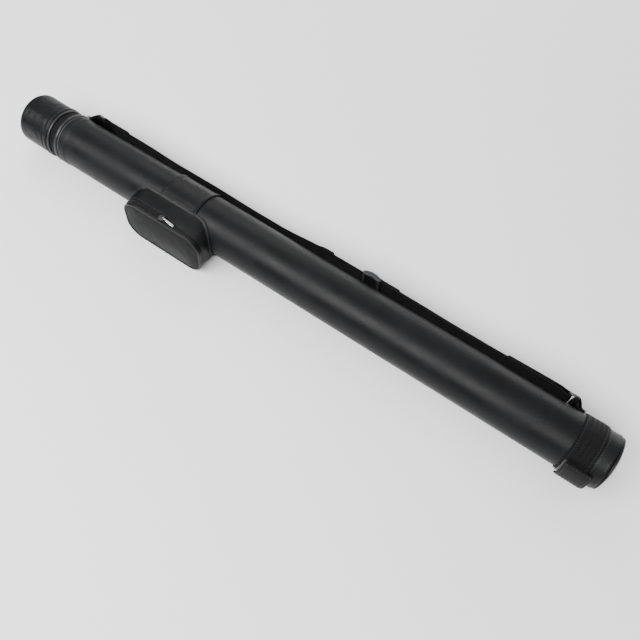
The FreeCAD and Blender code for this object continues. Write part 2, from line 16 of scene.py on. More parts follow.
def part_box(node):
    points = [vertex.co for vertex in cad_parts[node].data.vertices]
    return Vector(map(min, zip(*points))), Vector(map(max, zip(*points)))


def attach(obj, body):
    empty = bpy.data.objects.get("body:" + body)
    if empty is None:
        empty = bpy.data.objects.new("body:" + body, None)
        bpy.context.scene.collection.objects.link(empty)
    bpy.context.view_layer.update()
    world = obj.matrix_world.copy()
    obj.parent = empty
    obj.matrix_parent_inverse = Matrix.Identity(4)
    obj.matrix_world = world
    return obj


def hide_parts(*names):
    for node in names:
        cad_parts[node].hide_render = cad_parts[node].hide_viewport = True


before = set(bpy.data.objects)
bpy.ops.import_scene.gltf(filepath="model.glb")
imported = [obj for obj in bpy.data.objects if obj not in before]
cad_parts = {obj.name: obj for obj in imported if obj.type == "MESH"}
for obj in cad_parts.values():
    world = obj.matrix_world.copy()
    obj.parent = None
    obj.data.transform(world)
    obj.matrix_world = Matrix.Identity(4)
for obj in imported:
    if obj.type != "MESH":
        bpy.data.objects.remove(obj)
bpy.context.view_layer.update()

bl_info = {
    "name": "Cue tube case",
    "version": (1, 0, 0),
    "blender": (4, 5, 0),
    "location": "3D View > Sidebar > Cue case",
    "description": "Builds the leatherette, webbing, zip and fittings of a cue tube case",
    "category": "Object",
}

MM = 0.001
CORE_LOW, CORE_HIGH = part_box("tube_core")
START_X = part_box("lid_end_disc")[0].x
AXIS_Y = (CORE_LOW.y + CORE_HIGH.y) / 2
AXIS_Z = (CORE_LOW.z + CORE_HIGH.z) / 2

# Places and sizes in millimetres, as stations along the tube and distances to its back
STRAP_BACK, STRAP_WIDTH = 39.0, 34.0
UPPER_BAR, LOWER_BAR, RING_LENGTH = 82.0, 765.0, 10.0
BAND_START, BAND_END = 790.0, 816.6
TAIL_START, TAIL_END = 793.5, 823.5
SLEEVE_START, SLEEVE_END = 238.5, 293.5
BASE_CORNER_STATION, BASE_CORNER_RADIUS, BASE_CORNER_SIZE = 829.0, 24.5, 8.0
LID_CORNER_STATION = 5.8


# ---------------------------------------------------------------- sizes and colours

class CueCaseSizes(bpy.types.PropertyGroup):
    """Sizes of the case's textures and trims."""

    grain: FloatProperty(
        name="Leather grain", default=0.0011, min=0.0003, max=0.005, subtype="DISTANCE",
        description="Width of one pebble of the leatherette's grain")
    rib_pitch: FloatProperty(
        name="Webbing rib", default=0.0018, min=0.0005, max=0.005, subtype="DISTANCE",
        description="Distance between two ribs of the webbing")
    band_pitch: FloatProperty(
        name="Band rib", default=0.0024, min=0.0005, max=0.006, subtype="DISTANCE",
        description="Distance between two ribs of the band round the closed end")
    stitch_pitch: FloatProperty(
        name="Stitch pitch", default=0.0032, min=0.001, max=0.01, subtype="DISTANCE",
        description="Distance between the starts of two stitches")
    stitch_length: FloatProperty(
        name="Stitch length", default=0.0023, min=0.0005, max=0.008, subtype="DISTANCE",
        description="Length of one stitch")
    tooth_pitch: FloatProperty(
        name="Zip tooth pitch", default=0.0012, min=0.0005, max=0.004, subtype="DISTANCE",
        description="Distance between two turns of the zip's coil")


class CueCaseColours(bpy.types.PropertyGroup):
    """Colours of the case's materials."""

    leather: FloatVectorProperty(
        name="Leatherette", subtype="COLOR", size=3, default=(0.0046, 0.0048, 0.0055),
        description="Colour of the leatherette")
    webbing: FloatVectorProperty(
        name="Webbing", subtype="COLOR", size=3, default=(0.0022, 0.0022, 0.0025),
        description="Colour of the strap's and the band's webbing")
    thread: FloatVectorProperty(
        name="Thread", subtype="COLOR", size=3, default=(0.010, 0.010, 0.011),
        description="Colour of the sewing thread")
    tack: FloatVectorProperty(
        name="Tacking thread", subtype="COLOR", size=3, default=(0.55, 0.55, 0.53),
        description="Colour of the pale thread at the tail's corners")
    nickel: FloatVectorProperty(
        name="Zip metal", subtype="COLOR", size=3, default=(0.78, 0.77, 0.74),
        description="Colour of the zip's slider and pull")
    floor: FloatVectorProperty(
        name="Floor", subtype="COLOR", size=3, default=(0.93, 0.93, 0.93),
        description="Colour of the floor")


def sizes():
    """The case's sizes, as set in the scene."""
    return bpy.context.scene.cue_case_sizes


def colours():
    """The case's colours, as set in the scene."""
    return bpy.context.scene.cue_case_colours


# ---------------------------------------------------------------- shader maths

class Wire:
    """A shader value: arithmetic on it adds Math nodes."""

    def __init__(self, paint, socket):
        self.paint = paint
        self.socket = socket

    def maths(self, operation, *values):
        return self.paint.node(
            "ShaderNodeMath", {"operation": operation}, dict(enumerate(values)))

    def __add__(self, other):
        return self.maths("ADD", self, other)

    __radd__ = __add__

    def __sub__(self, other):
        return self.maths("SUBTRACT", self, other)

    def __rsub__(self, other):
        return self.maths("SUBTRACT", other, self)

    def __mul__(self, other):
        return self.maths("MULTIPLY", self, other)

    __rmul__ = __mul__

    def sine(self):
        return self.maths("SINE", self)

    def size(self):
        return self.maths("ABSOLUTE", self)

    def ramp(self, low, high, to_low=0.0, to_high=1.0):
        """Map a range to another, smoothly and clamped at both ends."""
        return self.paint.node(
            "ShaderNodeMapRange", {"interpolation_type": "SMOOTHSTEP"},
            {0: self, 1: low, 2: high, 3: to_low, 4: to_high})


class Paint:
    """One material under construction."""

    def __init__(self, name):
        self.material = bpy.data.materials.new(name)
        self.material.use_nodes = True
        self.tree = self.material.node_tree
        self.tree.nodes.clear()

    def node(self, kind, settings=None, inputs=None, output=0):
        """Add a node, set it up, feed its sockets and return one of its outputs."""
        made = self.tree.nodes.new(kind)
        for key, value in (settings or {}).items():
            setattr(made, key, value)
        for key, value in (inputs or {}).items():
            if isinstance(value, Wire):
                self.tree.links.new(value.socket, made.inputs[key])
            else:
                made.inputs[key].default_value = value
        return Wire(self, made.outputs[output]) if made.outputs else None

    def place(self, scale=1.0, stretch=(1.0, 1.0, 1.0)):
        """The piece's own place in the case, scaled."""
        spot = self.node("ShaderNodeTexCoord", output="Object")
        scaled = tuple(scale * part for part in stretch)
        return self.node("ShaderNodeMapping", None, {"Vector": spot, "Scale": scaled})

    def cloth(self):
        """Distance along and across a woven piece, in metres."""
        spot = self.node("ShaderNodeUVMap", {"uv_map": "cloth"})
        along = self.node("ShaderNodeSeparateXYZ", None, {0: spot}, "X")
        across = self.node("ShaderNodeSeparateXYZ", None, {0: spot}, "Y")
        return along, across

    def noise(self, place, scale, detail=3.0, roughness=0.55):
        return self.node("ShaderNodeTexNoise", None, {
            "Vector": place, "Scale": scale, "Detail": detail, "Roughness": roughness})

    def mix(self, factor, low, high):
        return self.node("ShaderNodeMix", {"data_type": "RGBA"}, {
            "Factor": factor, "A": self.rgba(low), "B": self.rgba(high)}, "Result")

    @staticmethod
    def rgba(colour):
        return colour if isinstance(colour, Wire) else (*tuple(colour)[:3], 1.0)

    def bump(self, height, depth, strength=1.0, normal=None):
        inputs = {"Height": height, "Distance": depth, "Strength": strength}
        if normal is not None:
            inputs["Normal"] = normal
        return self.node("ShaderNodeBump", None, inputs)

    def finish(self, **inputs):
        """Close the material with a Principled shader."""
        named = {key.replace("_", " "): value for key, value in inputs.items()}
        named["Base Color"] = self.rgba(named["Base Color"])
        shader = self.node("ShaderNodeBsdfPrincipled", None, named)
        self.node("ShaderNodeOutputMaterial", None, {"Surface": shader})
        return self.material


def tint(colour, gain):
    """A colour made lighter or darker."""
    return tuple(min(part * gain, 1.0) for part in tuple(colour)[:3])


# ---------------------------------------------------------------- materials

def make_leather(name, gain=1.0, rough=0.35, depth=0.00011, crease=0.00035, shine=0.16):
    """Pebbled leatherette: rounded pebbles in a net of fine creases, with soft waves under it."""
    paint = Paint(name)
    cell = sizes().grain
    place = paint.place()
    wander = paint.noise(place, 160.0, 2.0)
    bent = paint.node("ShaderNodeVectorMath", {"operation": "MULTIPLY_ADD"}, {
        0: paint.node("ShaderNodeCombineXYZ", None, {0: wander, 1: wander, 2: wander}),
        1: (0.0016, 0.0016, 0.0016), 2: place})
    pebble = paint.node("ShaderNodeTexVoronoi", {"feature": "SMOOTH_F1"}, {
        "Vector": bent, "Scale": 1.0 / cell, "Smoothness": 0.35})
    net = paint.node("ShaderNodeTexVoronoi", {"feature": "DISTANCE_TO_EDGE"}, {
        "Vector": bent, "Scale": 0.62 / cell})
    fine = paint.noise(place, 2.6 / cell, 3.0)
    waves = paint.noise(place, 55.0, 2.0)
    patch = paint.noise(place, 21.0, 3.0)
    valley = net.ramp(0.0, 0.16)
    height = (1.0 - pebble) * 0.55 + valley * 0.45 + fine * 0.30
    skin = paint.bump(height, depth, 0.85)
    soft = paint.bump(waves, crease, 0.55, skin)
    base = tint(colours().leather, gain)
    colour = paint.mix(patch.ramp(0.35, 0.68), tint(base, 0.80), tint(base, 1.28))
    # Painted shade: the grain's creases are coloured darker than its pebbles.
    colour = paint.mix(valley, tint(base, 0.55), colour)
    roughness = rough + patch.ramp(0.3, 0.7) * 0.12 - valley * 0.05 + fine * 0.06
    return paint.finish(
        Base_Color=colour, Roughness=roughness, Normal=soft, Specular_IOR_Level=shine)


def make_webbing(name, colour, pitch, depth=0.00022, rough=0.56, columns=0.0026):
    """Woven nylon: ribs across the tape, stepped from column to column, with single threads."""
    paint = Paint(name)
    along, across = paint.cloth()
    turn = 2.0 * math.pi
    column = across * (1.0 / columns)
    lane = column.maths("FLOOR", column)
    shift = lane.maths("MODULO", lane, 2.0) * (pitch / 2.0)
    rib = ((along + shift) * (turn / pitch)).sine()
    furrow = (column * turn).sine()
    strands = ((along * 0.35 + across) * (turn / 0.00042)).sine()
    place = paint.place()
    fuzz = paint.noise(place, 3200.0, 2.0)
    dust = paint.noise(place, 48.0, 3.0)
    height = rib * 0.40 + furrow.size() * 0.30 + strands * 0.12 + fuzz * 0.3
    normal = paint.bump(height, depth, 0.9)
    # Painted highlight and shade: the ribs' crests are coloured lighter and the furrows between
    # them darker.
    shade = rib.ramp(-0.9, 0.9)
    base = paint.mix(shade, tint(colour, 0.5), tint(colour, 1.35))
    # Lighter dust at random, laid over the painted rib highlight and shade.
    dust_and_rib_shade = paint.mix(dust.ramp(0.5, 0.78) * 0.5, base, tint(colour, 2.2))
    return paint.finish(
        Base_Color=dust_and_rib_shade, Roughness=fuzz.ramp(0.2, 0.8, rough - 0.07, rough + 0.1),
        Normal=normal, Specular_IOR_Level=0.2)


def make_thread(name, colour):
    """Twisted sewing thread."""
    paint = Paint(name)
    place = paint.place()
    twist = paint.node("ShaderNodeTexWave", {"bands_direction": "DIAGONAL"}, {
        "Vector": place, "Scale": 700.0, "Distortion": 0.4})
    tone = paint.noise(place, 300.0, 2.0)
    base = paint.mix(tone, tint(colour, 0.7), tint(colour, 1.3))
    return paint.finish(
        Base_Color=base, Roughness=0.55, Normal=paint.bump(twist, 0.00005, 0.6),
        Sheen_Weight=0.2)


def make_plastic(name, colour, rough=0.42, grain=0.00002):
    """Moulded plastic with a faint spark-eroded texture and handling marks."""
    paint = Paint(name)
    place = paint.place()
    grit = paint.noise(place, 2400.0, 2.0)
    rub = paint.noise(place, 90.0, 4.0, 0.7)
    base = paint.mix(rub.ramp(0.35, 0.75), tint(colour, 0.85), tint(colour, 1.35))
    return paint.finish(
        Base_Color=base, Roughness=rub.ramp(0.3, 0.75, rough - 0.06, rough + 0.09),
        Normal=paint.bump(grit, grain, 0.6))


def make_metal(name, colour, rough=0.12, metallic=1.0):
    """Plated or painted metal with fine wear."""
    paint = Paint(name)
    place = paint.place()
    wipe = paint.noise(place, 260.0, 4.0, 0.65)
    pits = paint.noise(place, 1500.0, 2.0)
    base = paint.mix(wipe.ramp(0.45, 0.8), tint(colour, 1.0), tint(colour, 0.72))
    return paint.finish(
        Base_Color=base, Metallic=metallic,
        Roughness=wipe.ramp(0.3, 0.8, rough, rough + 0.14),
        Normal=paint.bump(pits, 0.000008, 0.5), Coat_Weight=0.0 if metallic else 0.35)


def make_foam(name, colour):
    """Closed-cell foam."""
    paint = Paint(name)
    place = paint.place()
    cells = paint.node("ShaderNodeTexVoronoi", {"feature": "SMOOTH_F1"}, {
        "Vector": place, "Scale": 1600.0, "Smoothness": 0.4})
    tone = paint.noise(place, 40.0, 3.0)
    base = paint.mix(cells.ramp(0.1, 0.7), tint(colour, 1.25), tint(colour, 0.6))
    base = paint.mix(tone.ramp(0.4, 0.8) * 0.4, base, tint(colour, 1.5))
    return paint.finish(
        Base_Color=base, Roughness=tone.ramp(0.3, 0.7, 0.84, 0.94),
        Normal=paint.bump(cells, 0.00018, 0.8))


def make_lining(name, colour):
    """Brushed plush lining."""
    paint = Paint(name)
    nap = paint.noise(paint.place(1.0, (0.35, 1.0, 1.0)), 1900.0, 3.0)
    swirl = paint.noise(paint.place(), 34.0, 4.0)
    base = paint.mix(nap.ramp(0.25, 0.75), tint(colour, 0.5), tint(colour, 1.4))
    base = paint.mix(swirl.ramp(0.4, 0.7) * 0.5, base, tint(colour, 1.7))
    return paint.finish(
        Base_Color=base, Roughness=nap.ramp(0.2, 0.8, 0.82, 0.95),
        Normal=paint.bump(nap, 0.00022, 0.9), Sheen_Weight=0.3, Sheen_Roughness=0.5)


def make_floor(name, colour):
    """Seamless pale studio floor."""
    paint = Paint(name)
    tone = paint.noise(paint.place(), 6.0, 2.0)
    base = paint.mix(tone, tint(colour, 0.985), tint(colour, 1.01))
    return paint.finish(Base_Color=base, Roughness=0.75, Specular_IOR_Level=0.2)


MATERIALS = {}


def material(name):
    """A finish of the case by name, made the first time it is asked for."""
    if name not in MATERIALS:
        paint, size = colours(), sizes()
        recipes = {
            "leatherette": lambda: make_leather("leatherette"),
            "lid_leather": lambda: make_leather(
                "lid_leather", gain=0.95, rough=0.34, depth=0.00009, crease=0.0030),
            "base_leather": lambda: make_leather(
                "base_leather", gain=0.8, rough=0.33, depth=0.00008, crease=0.0014,
                shine=0.20),
            # Painted shade: a darker copy of the leatherette for the pouch's front panel.
            "shaded_panel_leather": lambda: make_leather(
                "shaded_panel_leather", gain=0.6, rough=0.36, depth=0.0001, crease=0.0012,
                shine=0.07),
            "pouch_leather": lambda: make_leather(
                "pouch_leather", gain=0.9, rough=0.35, depth=0.0001, crease=0.0020,
                shine=0.17),
            # Painted shade: a darker copy of the leatherette for the piping cords.
            "shaded_piping_leather": lambda: make_leather(
                "shaded_piping_leather", gain=0.6, rough=0.30, depth=0.00003, crease=0.0001,
                shine=0.25),
            "webbing": lambda: make_webbing("webbing", paint.webbing, size.rib_pitch),
            "band_webbing": lambda: make_webbing(
                "band_webbing", tint(paint.webbing, 0.9), size.band_pitch, depth=0.0006,
                rough=0.52),
            "neck_cloth": lambda: make_webbing(
                "neck_cloth", tint(paint.webbing, 0.8), pitch=0.0009, depth=0.00008,
                rough=0.8, columns=0.0012),
            # A darker copy of the black webbing for the zip's tapes: black tape and painted shade
            # of the zip's recess.
            "shaded_zip_cloth": lambda: make_webbing(
                "shaded_zip_cloth", tint(paint.webbing, 0.7), pitch=0.0008, depth=0.00006,
                rough=0.7, columns=0.0011),
            "hook_cloth": lambda: make_lining("hook_cloth", (0.012, 0.012, 0.013)),
            "thread": lambda: make_thread("thread", paint.thread),
            "dark_thread": lambda: make_thread("dark_thread", tint(paint.thread, 0.35)),
            "tacking": lambda: make_thread("tacking", paint.tack),
            "nickel": lambda: make_metal("nickel", paint.nickel),
            "black_wire": lambda: make_metal(
                "black_wire", (0.012, 0.012, 0.013), rough=0.22, metallic=0.0),
            "black_plastic": lambda: make_plastic("black_plastic", (0.013, 0.013, 0.014)),
            "gloss_bead": lambda: make_plastic(
                "gloss_bead", (0.006, 0.006, 0.007), rough=0.44),
            "neck_plastic": lambda: make_plastic(
                "neck_plastic", (0.018, 0.018, 0.020), rough=0.5),
            "core_board": lambda: make_plastic(
                "core_board", (0.05, 0.05, 0.055), rough=0.6),
            "zip_coil": lambda: make_plastic(
                "zip_coil", (0.005, 0.005, 0.006), rough=0.40),
            "foam": lambda: make_foam("foam", (0.03, 0.03, 0.034)),
            "lining": lambda: make_lining("lining", (0.035, 0.035, 0.040)),
            "felt": lambda: make_lining("felt", (0.05, 0.05, 0.055)),
            "floor": lambda: make_floor("floor", paint.floor),
        }
        MATERIALS[name] = recipes[name]()
    return MATERIALS[name]


# ---------------------------------------------------------------- shape helpers

def at(station, back, level):
    """A point given in millimetres from the lid end of the tube's axis."""
    return Vector((START_X + station * MM, AXIS_Y + back * MM, AXIS_Z + level * MM))


def around(station, radius, angle):
    """A point on the tube; the angle runs from the top towards the pouch side."""
    turn = math.radians(angle)
    return at(station, -radius * math.sin(turn), radius * math.cos(turn))


def ripple(point, wavelength, seed=0.0):
    """Smooth noise from -1 to 1 at a point given in millimetres."""
    return noise.noise(Vector(point) / wavelength + Vector((seed, seed * 0.7, 3.1)))


def blend_between(low, high, value):
    """Smooth step from 0 at low to 1 at high."""
    part = min(max((value - low) / (high - low), 0.0), 1.0)
    return part * part * (3.0 - 2.0 * part)


def rounded(points, radius, steps=4, closed=True):
    """Round the corners of an outline of 2-D points."""
    count = len(points)
    out = []
    for index, point in enumerate(points):
        here = Vector(point[:2])
        size = point[2] if len(point) > 2 else radius
        if (not closed and index in (0, count - 1)) or size <= 0:
            out.append(tuple(here))
            continue
        before = Vector(points[index - 1][:2]) - here
        after = Vector(points[(index + 1) % count][:2]) - here
        reach = min(size, before.length * 0.49, after.length * 0.49)
        start, end = here + before.normalized() * reach, here + after.normalized() * reach
        for step in range(steps + 1):
            part = step / steps
            spot = start * (1 - part) ** 2 + here * 2 * part * (1 - part) + end * part ** 2
            out.append(tuple(spot))
    return out


def dense(points, step, closed=True):
    """Add points along an outline's long edges."""
    out = []
    last = len(points) if closed else len(points) - 1
    for index in range(last):
        start, end = Vector(points[index]), Vector(points[(index + 1) % len(points)])
        pieces = max(int((end - start).length / step), 1)
        out.extend(tuple(start.lerp(end, part / pieces)) for part in range(pieces))
    if not closed:
        out.append(tuple(points[-1]))
    return out


def lengths(points, closed):
    """Running length along a row of points, with the closing edge if it is closed."""
    row = [Vector(p) for p in points] + ([Vector(points[0])] if closed else [])
    total, out = 0.0, [0.0]
    for before, after in zip(row, row[1:]):
        total += (after - before).length
        out.append(total)
    return out


def skin(name, rows, closed_rows, closed_columns, finish_name, capped=False):
    """A surface through rows of points, with lengths along and across it as its cloth map."""
    count, width = len(rows), len(rows[0])
    along = lengths([row[width // 2] for row in rows], closed_rows)
    longest = max(rows, key=lambda row: lengths(row, closed_columns)[-1])
    across = lengths(longest, closed_columns)
    shape = bmesh.new()
    layer = shape.loops.layers.uv.new("cloth")
    verts = [[shape.verts.new(point) for point in row] for row in rows]
    for i in range(count if closed_rows else count - 1):
        for j in range(width if closed_columns else width - 1):
            corners = [(i, j), (i + 1, j), (i + 1, j + 1), (i, j + 1)]
            loop = [verts[a % count][b % width] for a, b in corners]
            face = shape.faces.new(loop)
            face.smooth = True
            for corner, (a, b) in zip(face.loops, corners):
                corner[layer].uv = (along[a], across[b])
    if capped:
        for row in (verts[0][::-1], verts[-1]):
            face = shape.faces.new(row)
            for corner in face.loops:
                corner[layer].uv = (corner.vert.co.x, corner.vert.co.z)
    bmesh.ops.remove_doubles(shape, verts=shape.verts, dist=1e-6)
    bmesh.ops.recalc_face_normals(shape, faces=shape.faces)
    mesh = bpy.data.meshes.new(name)
    shape.to_mesh(mesh)
    shape.free()
    mesh.set_sharp_from_angle(angle=math.radians(48))
    mesh.materials.append(material(finish_name))
    made = bpy.data.objects.new(name, mesh)
    bpy.context.scene.collection.objects.link(made)
    return made


def lathe(name, outline, finish_name, steps=144, shape=None, angles=(0.0, 360.0)):
    """Spin an outline of (station, radius) points round the tube's axis.

    shape(station, radius, angle) may return a changed radius.
    """
    full = abs(angles[1] - angles[0]) >= 360.0
    rows = []
    for step in range(steps if full else steps + 1):
        angle = angles[0] + (angles[1] - angles[0]) * step / steps
        row = []
        for station, radius in outline:
            grown = shape(station, radius, angle) if shape else radius
            row.append(around(station, grown, angle))
        rows.append(row)
    return skin(name, rows, full, True, finish_name, capped=not full)


def ribbon(name, path, width, thickness, finish_name, level=None, sway=None, columns=14):
    """Webbing along a path of (station, back) points, standing on its edge."""
    rows = []
    points = [Vector((p[0], p[1])) for p in path]
    for index, here in enumerate(points):
        before = points[max(index - 1, 0)]
        after = points[min(index + 1, len(points) - 1)]
        way = (after - before).normalized()
        side = Vector((-way.y, way.x))
        lift = level(here.x) if level else 0.0
        front, rear = [], []
        for column in range(columns + 1):
            part = 2.0 * column / columns - 1.0
            half = thickness / 2 * (1.0 - 0.45 * abs(part) ** 10)
            lean = sway(here.x, part) if sway else 0.0
            for sign, line in ((1, front), (-1, rear)):
                spot = here + side * (sign * half + lean)
                line.append(at(spot.x, spot.y, lift + part * width / 2))
        rows.append(front + rear[::-1])
    return skin(name, rows, False, True, finish_name, capped=True)


def cord_round(name, points, radius, finish_name, closed=True, sides=12):
    """A round cord along points in millimetres, as (station, back, level)."""
    spots = [at(*point) for point in points]
    count = len(spots)
    rows = []
    up = Vector((0, 0, 1))
    for index, here in enumerate(spots):
        before = spots[index - 1] if closed or index else here
        after = spots[(index + 1) % count] if closed or index < count - 1 else here
        way = (after - before).normalized()
        side = way.cross(up)
        if side.length < 1e-3:
            side = way.cross(Vector((0, 1, 0)))
        side.normalize()
        top = side.cross(way).normalized()
        rows.append([
            here + (side * math.cos(t) + top * math.sin(t)) * radius * MM
            for t in (2 * math.pi * k / sides for k in range(sides))])
    return skin(name, rows, closed, True, finish_name, capped=not closed)


def slab(name, outline, near, far, finish_name, round_by=0.4):
    """A plate: a closed outline of points (station, back, level), moved by two offsets."""
    rows = [[at(*(Vector(p) + Vector(offset))) for p in outline] for offset in (near, far)]
    made = skin(name, rows, False, True, finish_name, capped=True)
    soften(made, round_by)
    return made


def soften(made, width, segments=3, angle=40.0):
    """Bevel a piece's sharp edges and keep the result."""
    bevel = made.modifiers.new("edges", "BEVEL")
    bevel.width = width * MM
    bevel.segments = segments
    bevel.limit_method = "ANGLE"
    bevel.angle_limit = math.radians(angle)
    settle(made)
    return made


def settle(made):
    """Turn a piece's modifiers into plain mesh."""
    bpy.context.view_layer.update()
    graph = bpy.context.evaluated_depsgraph_get()
    mesh = bpy.data.meshes.new_from_object(made.evaluated_get(graph))
    made.modifiers.clear()
    old = made.data
    made.data = mesh
    if old.users == 0:
        bpy.data.meshes.remove(old)
    return made


def merge(name, parts):
    """Join several pieces into one."""
    shape = bmesh.new()
    shape.loops.layers.uv.new("cloth")
    finishes = []
    for part in parts:
        before = len(shape.faces)
        shape.from_mesh(part.data)
        shape.faces.ensure_lookup_table()
        for own in part.data.materials:
            if own not in finishes:
                finishes.append(own)
        for face in shape.faces[before:]:
            face.material_index = finishes.index(part.data.materials[face.material_index])
    mesh = bpy.data.meshes.new(name)
    shape.to_mesh(mesh)
    shape.free()
    for own in finishes:
        mesh.materials.append(own)
    for part in parts:
        old = part.data
        bpy.data.objects.remove(part)
        if old.users == 0:
            bpy.data.meshes.remove(old)
    made = bpy.data.objects.new(name, mesh)
    bpy.context.scene.collection.objects.link(made)
    return made


def put(made, body, slot, *nodes):
    """Let a finished piece ride on its body in place of CAD nodes."""
    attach(made, body)
    if nodes:
        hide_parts(*nodes)
    return made


def coat(node, finish_name):
    """Give a CAD node its finish."""
    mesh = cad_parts[node].data
    mesh.materials.clear()
    mesh.materials.append(material(finish_name))


# ---------------------------------------------------------------- rows of stitches and teeth

ROW_TREE = "row of rounded solids"


def row_tree(name):
    """Geometry Nodes that set one small rounded solid after another along a drawn line.

    The line carries a normal on each point; each solid lies along the line and faces out.
    """
    tree = bpy.data.node_groups.new(name, "GeometryNodeTree")
    face = tree.interface
    face.new_socket("Geometry", in_out="INPUT", socket_type="NodeSocketGeometry")
    for label in ("Pitch", "Length", "Width", "Height"):
        face.new_socket(label, in_out="INPUT", socket_type="NodeSocketFloat")
    face.new_socket("Finish", in_out="INPUT", socket_type="NodeSocketMaterial")
    face.new_socket("Geometry", in_out="OUTPUT", socket_type="NodeSocketGeometry")
    nodes, links = tree.nodes, tree.links

    def add(kind, settings=None, inputs=None):
        made = nodes.new(kind)
        for key, value in (settings or {}).items():
            setattr(made, key, value)
        for key, value in (inputs or {}).items():
            if isinstance(value, bpy.types.NodeSocket):
                links.new(value, made.inputs[key])
            else:
                made.inputs[key].default_value = value
        return made

    given = add("NodeGroupInput")
    line = add("GeometryNodeMeshToCurve", None, {0: given.outputs["Geometry"]})
    even = add("GeometryNodeResampleCurve", {"mode": "LENGTH"}, {
        "Curve": line.outputs[0], "Length": given.outputs["Pitch"]})
    way = add("GeometryNodeInputTangent")
    normal = add("GeometryNodeInputNamedAttribute", {"data_type": "FLOAT_VECTOR"},
                 {"Name": "face_way"})
    lie = add("FunctionNodeAlignRotationToVector", {"axis": "X"}, {"Vector": way.outputs[0]})
    stand = add("FunctionNodeAlignRotationToVector", {"axis": "Z", "pivot_axis": "X"}, {
        "Rotation": lie.outputs[0], "Vector": normal.outputs[0]})
    small = add("GeometryNodeMeshUVSphere", None, {"Segments": 6, "Rings": 5, "Radius": 0.5})
    size = add("ShaderNodeCombineXYZ", None, {
        0: given.outputs["Length"], 1: given.outputs["Width"], 2: given.outputs["Height"]})
    spread = add("GeometryNodeInstanceOnPoints", None, {
        "Points": even.outputs[0], "Instance": small.outputs["Mesh"], "Rotation": stand.outputs[0],
        "Scale": size.outputs[0]})
    real = add("GeometryNodeRealizeInstances", None, {0: spread.outputs[0]})
    smooth = add("GeometryNodeSetShadeSmooth", None, {0: real.outputs[0]})
    coated = add("GeometryNodeSetMaterial", None, {
        "Geometry": smooth.outputs[0], "Material": given.outputs["Finish"]})
    add("NodeGroupOutput", None, {"Geometry": coated.outputs[0]})
    return tree


def row_of(name, lines, finish_name, pitch, length, width, height):
    """Solids along lines; a line is a list of (point in metres, normal), gaps between lines."""
    mesh = bpy.data.meshes.new(name)
    spots, edges, normals = [], [], []
    for line in lines:
        first = len(spots)
        spots.extend(point for point, normal in line)
        normals.extend(normal for point, normal in line)
        edges.extend((first + k, first + k + 1) for k in range(len(line) - 1))
    mesh.from_pydata(spots, edges, [])
    attribute = mesh.attributes.new("face_way", "FLOAT_VECTOR", "POINT")
    attribute.data.foreach_set("vector", [part for normal in normals for part in normal])
    made = bpy.data.objects.new(name, mesh)
    bpy.context.scene.collection.objects.link(made)
    tree = bpy.data.node_groups.get(ROW_TREE) or row_tree(ROW_TREE)
    modifier = made.modifiers.new("row", "NODES")
    modifier.node_group = tree
    values = {"Pitch": pitch, "Length": length, "Width": width, "Height": height,
              "Finish": material(finish_name)}
    for item in tree.interface.items_tree:
        if item.item_type == "SOCKET" and item.in_out == "INPUT" and item.name in values:
            modifier[item.identifier] = values[item.name]
    settle(made)
    if len(made.data.polygons) == 0:
        raise RuntimeError(f"{name} came out empty")
    return made


def stitches(name, lines, finish_name="thread", wide=0.55, high=0.45):
    """Rows of sewing along lines."""
    size = sizes()
    return row_of(name, lines, finish_name, size.stitch_pitch, size.stitch_length,
                  wide * MM, high * MM)


def outward(point):
    """A point with the way that faces away from the tube's axis there."""
    return point, Vector((0.0, point.y - AXIS_Y, point.z - AXIS_Z)).normalized()


def hoop_line(station, radius, first=0.0, last=360.0, steps=180):
    """A line round the tube, with its outward normals."""
    return [outward(around(station, radius, first + (last - first) * step / steps))
            for step in range(steps + 1)]


def face_line(points, normal):
    """A straight-edged line on a flat face, with that face's normal."""
    out = []
    for start, end in zip(points, points[1:]):
        a, b = at(*start), at(*end)
        for step in range(13):
            out.append((a.lerp(b, step / 12), Vector(normal)))
    return out


# ---------------------------------------------------------------- tube, neck and base

def leather_wall(depth, seed, wavelength=26.0):
    """A radius function that lets leatherette lie a little unevenly on its tube."""
    def shape(station, radius, angle):
        if radius < 32.0:
            return radius
        turn = math.radians(angle)
        spot = (station, 33 * math.sin(turn), 33 * math.cos(turn))
        slow = ripple(spot, wavelength * 2.4, seed)
        quick = ripple((station * 0.5, spot[1], spot[2]), wavelength * 0.5, seed + 5)
        return radius + depth * (slow + 0.35 * quick)
    return shape


def build_tube_cover():
    """The tube's leatherette, with its stitched hem at the mouth."""
    outline = rounded([
        (70.2, 31.5, 0), (817.1, 31.5, 0), (817.1, 32.4, 0.5), (86.0, 32.5, 3),
        (82.6, 32.62, 1.5), (80.8, 33.12, 1.2), (73.2, 33.2, 1.4), (71.0, 32.9, 0.8),
        (70.2, 32.2, 0.3)], 0.5)
    cover = lathe("tube_cover", dense(outline, 5.0), "leatherette", 160,
                  leather_wall(0.16, 2.0))
    put(cover, "tube", "leatherette", "body_cover")
    hem = stitches("tube_hem_stitches", [hoop_line(79.4, 33.18)])
    put(hem, "tube", "leatherette")


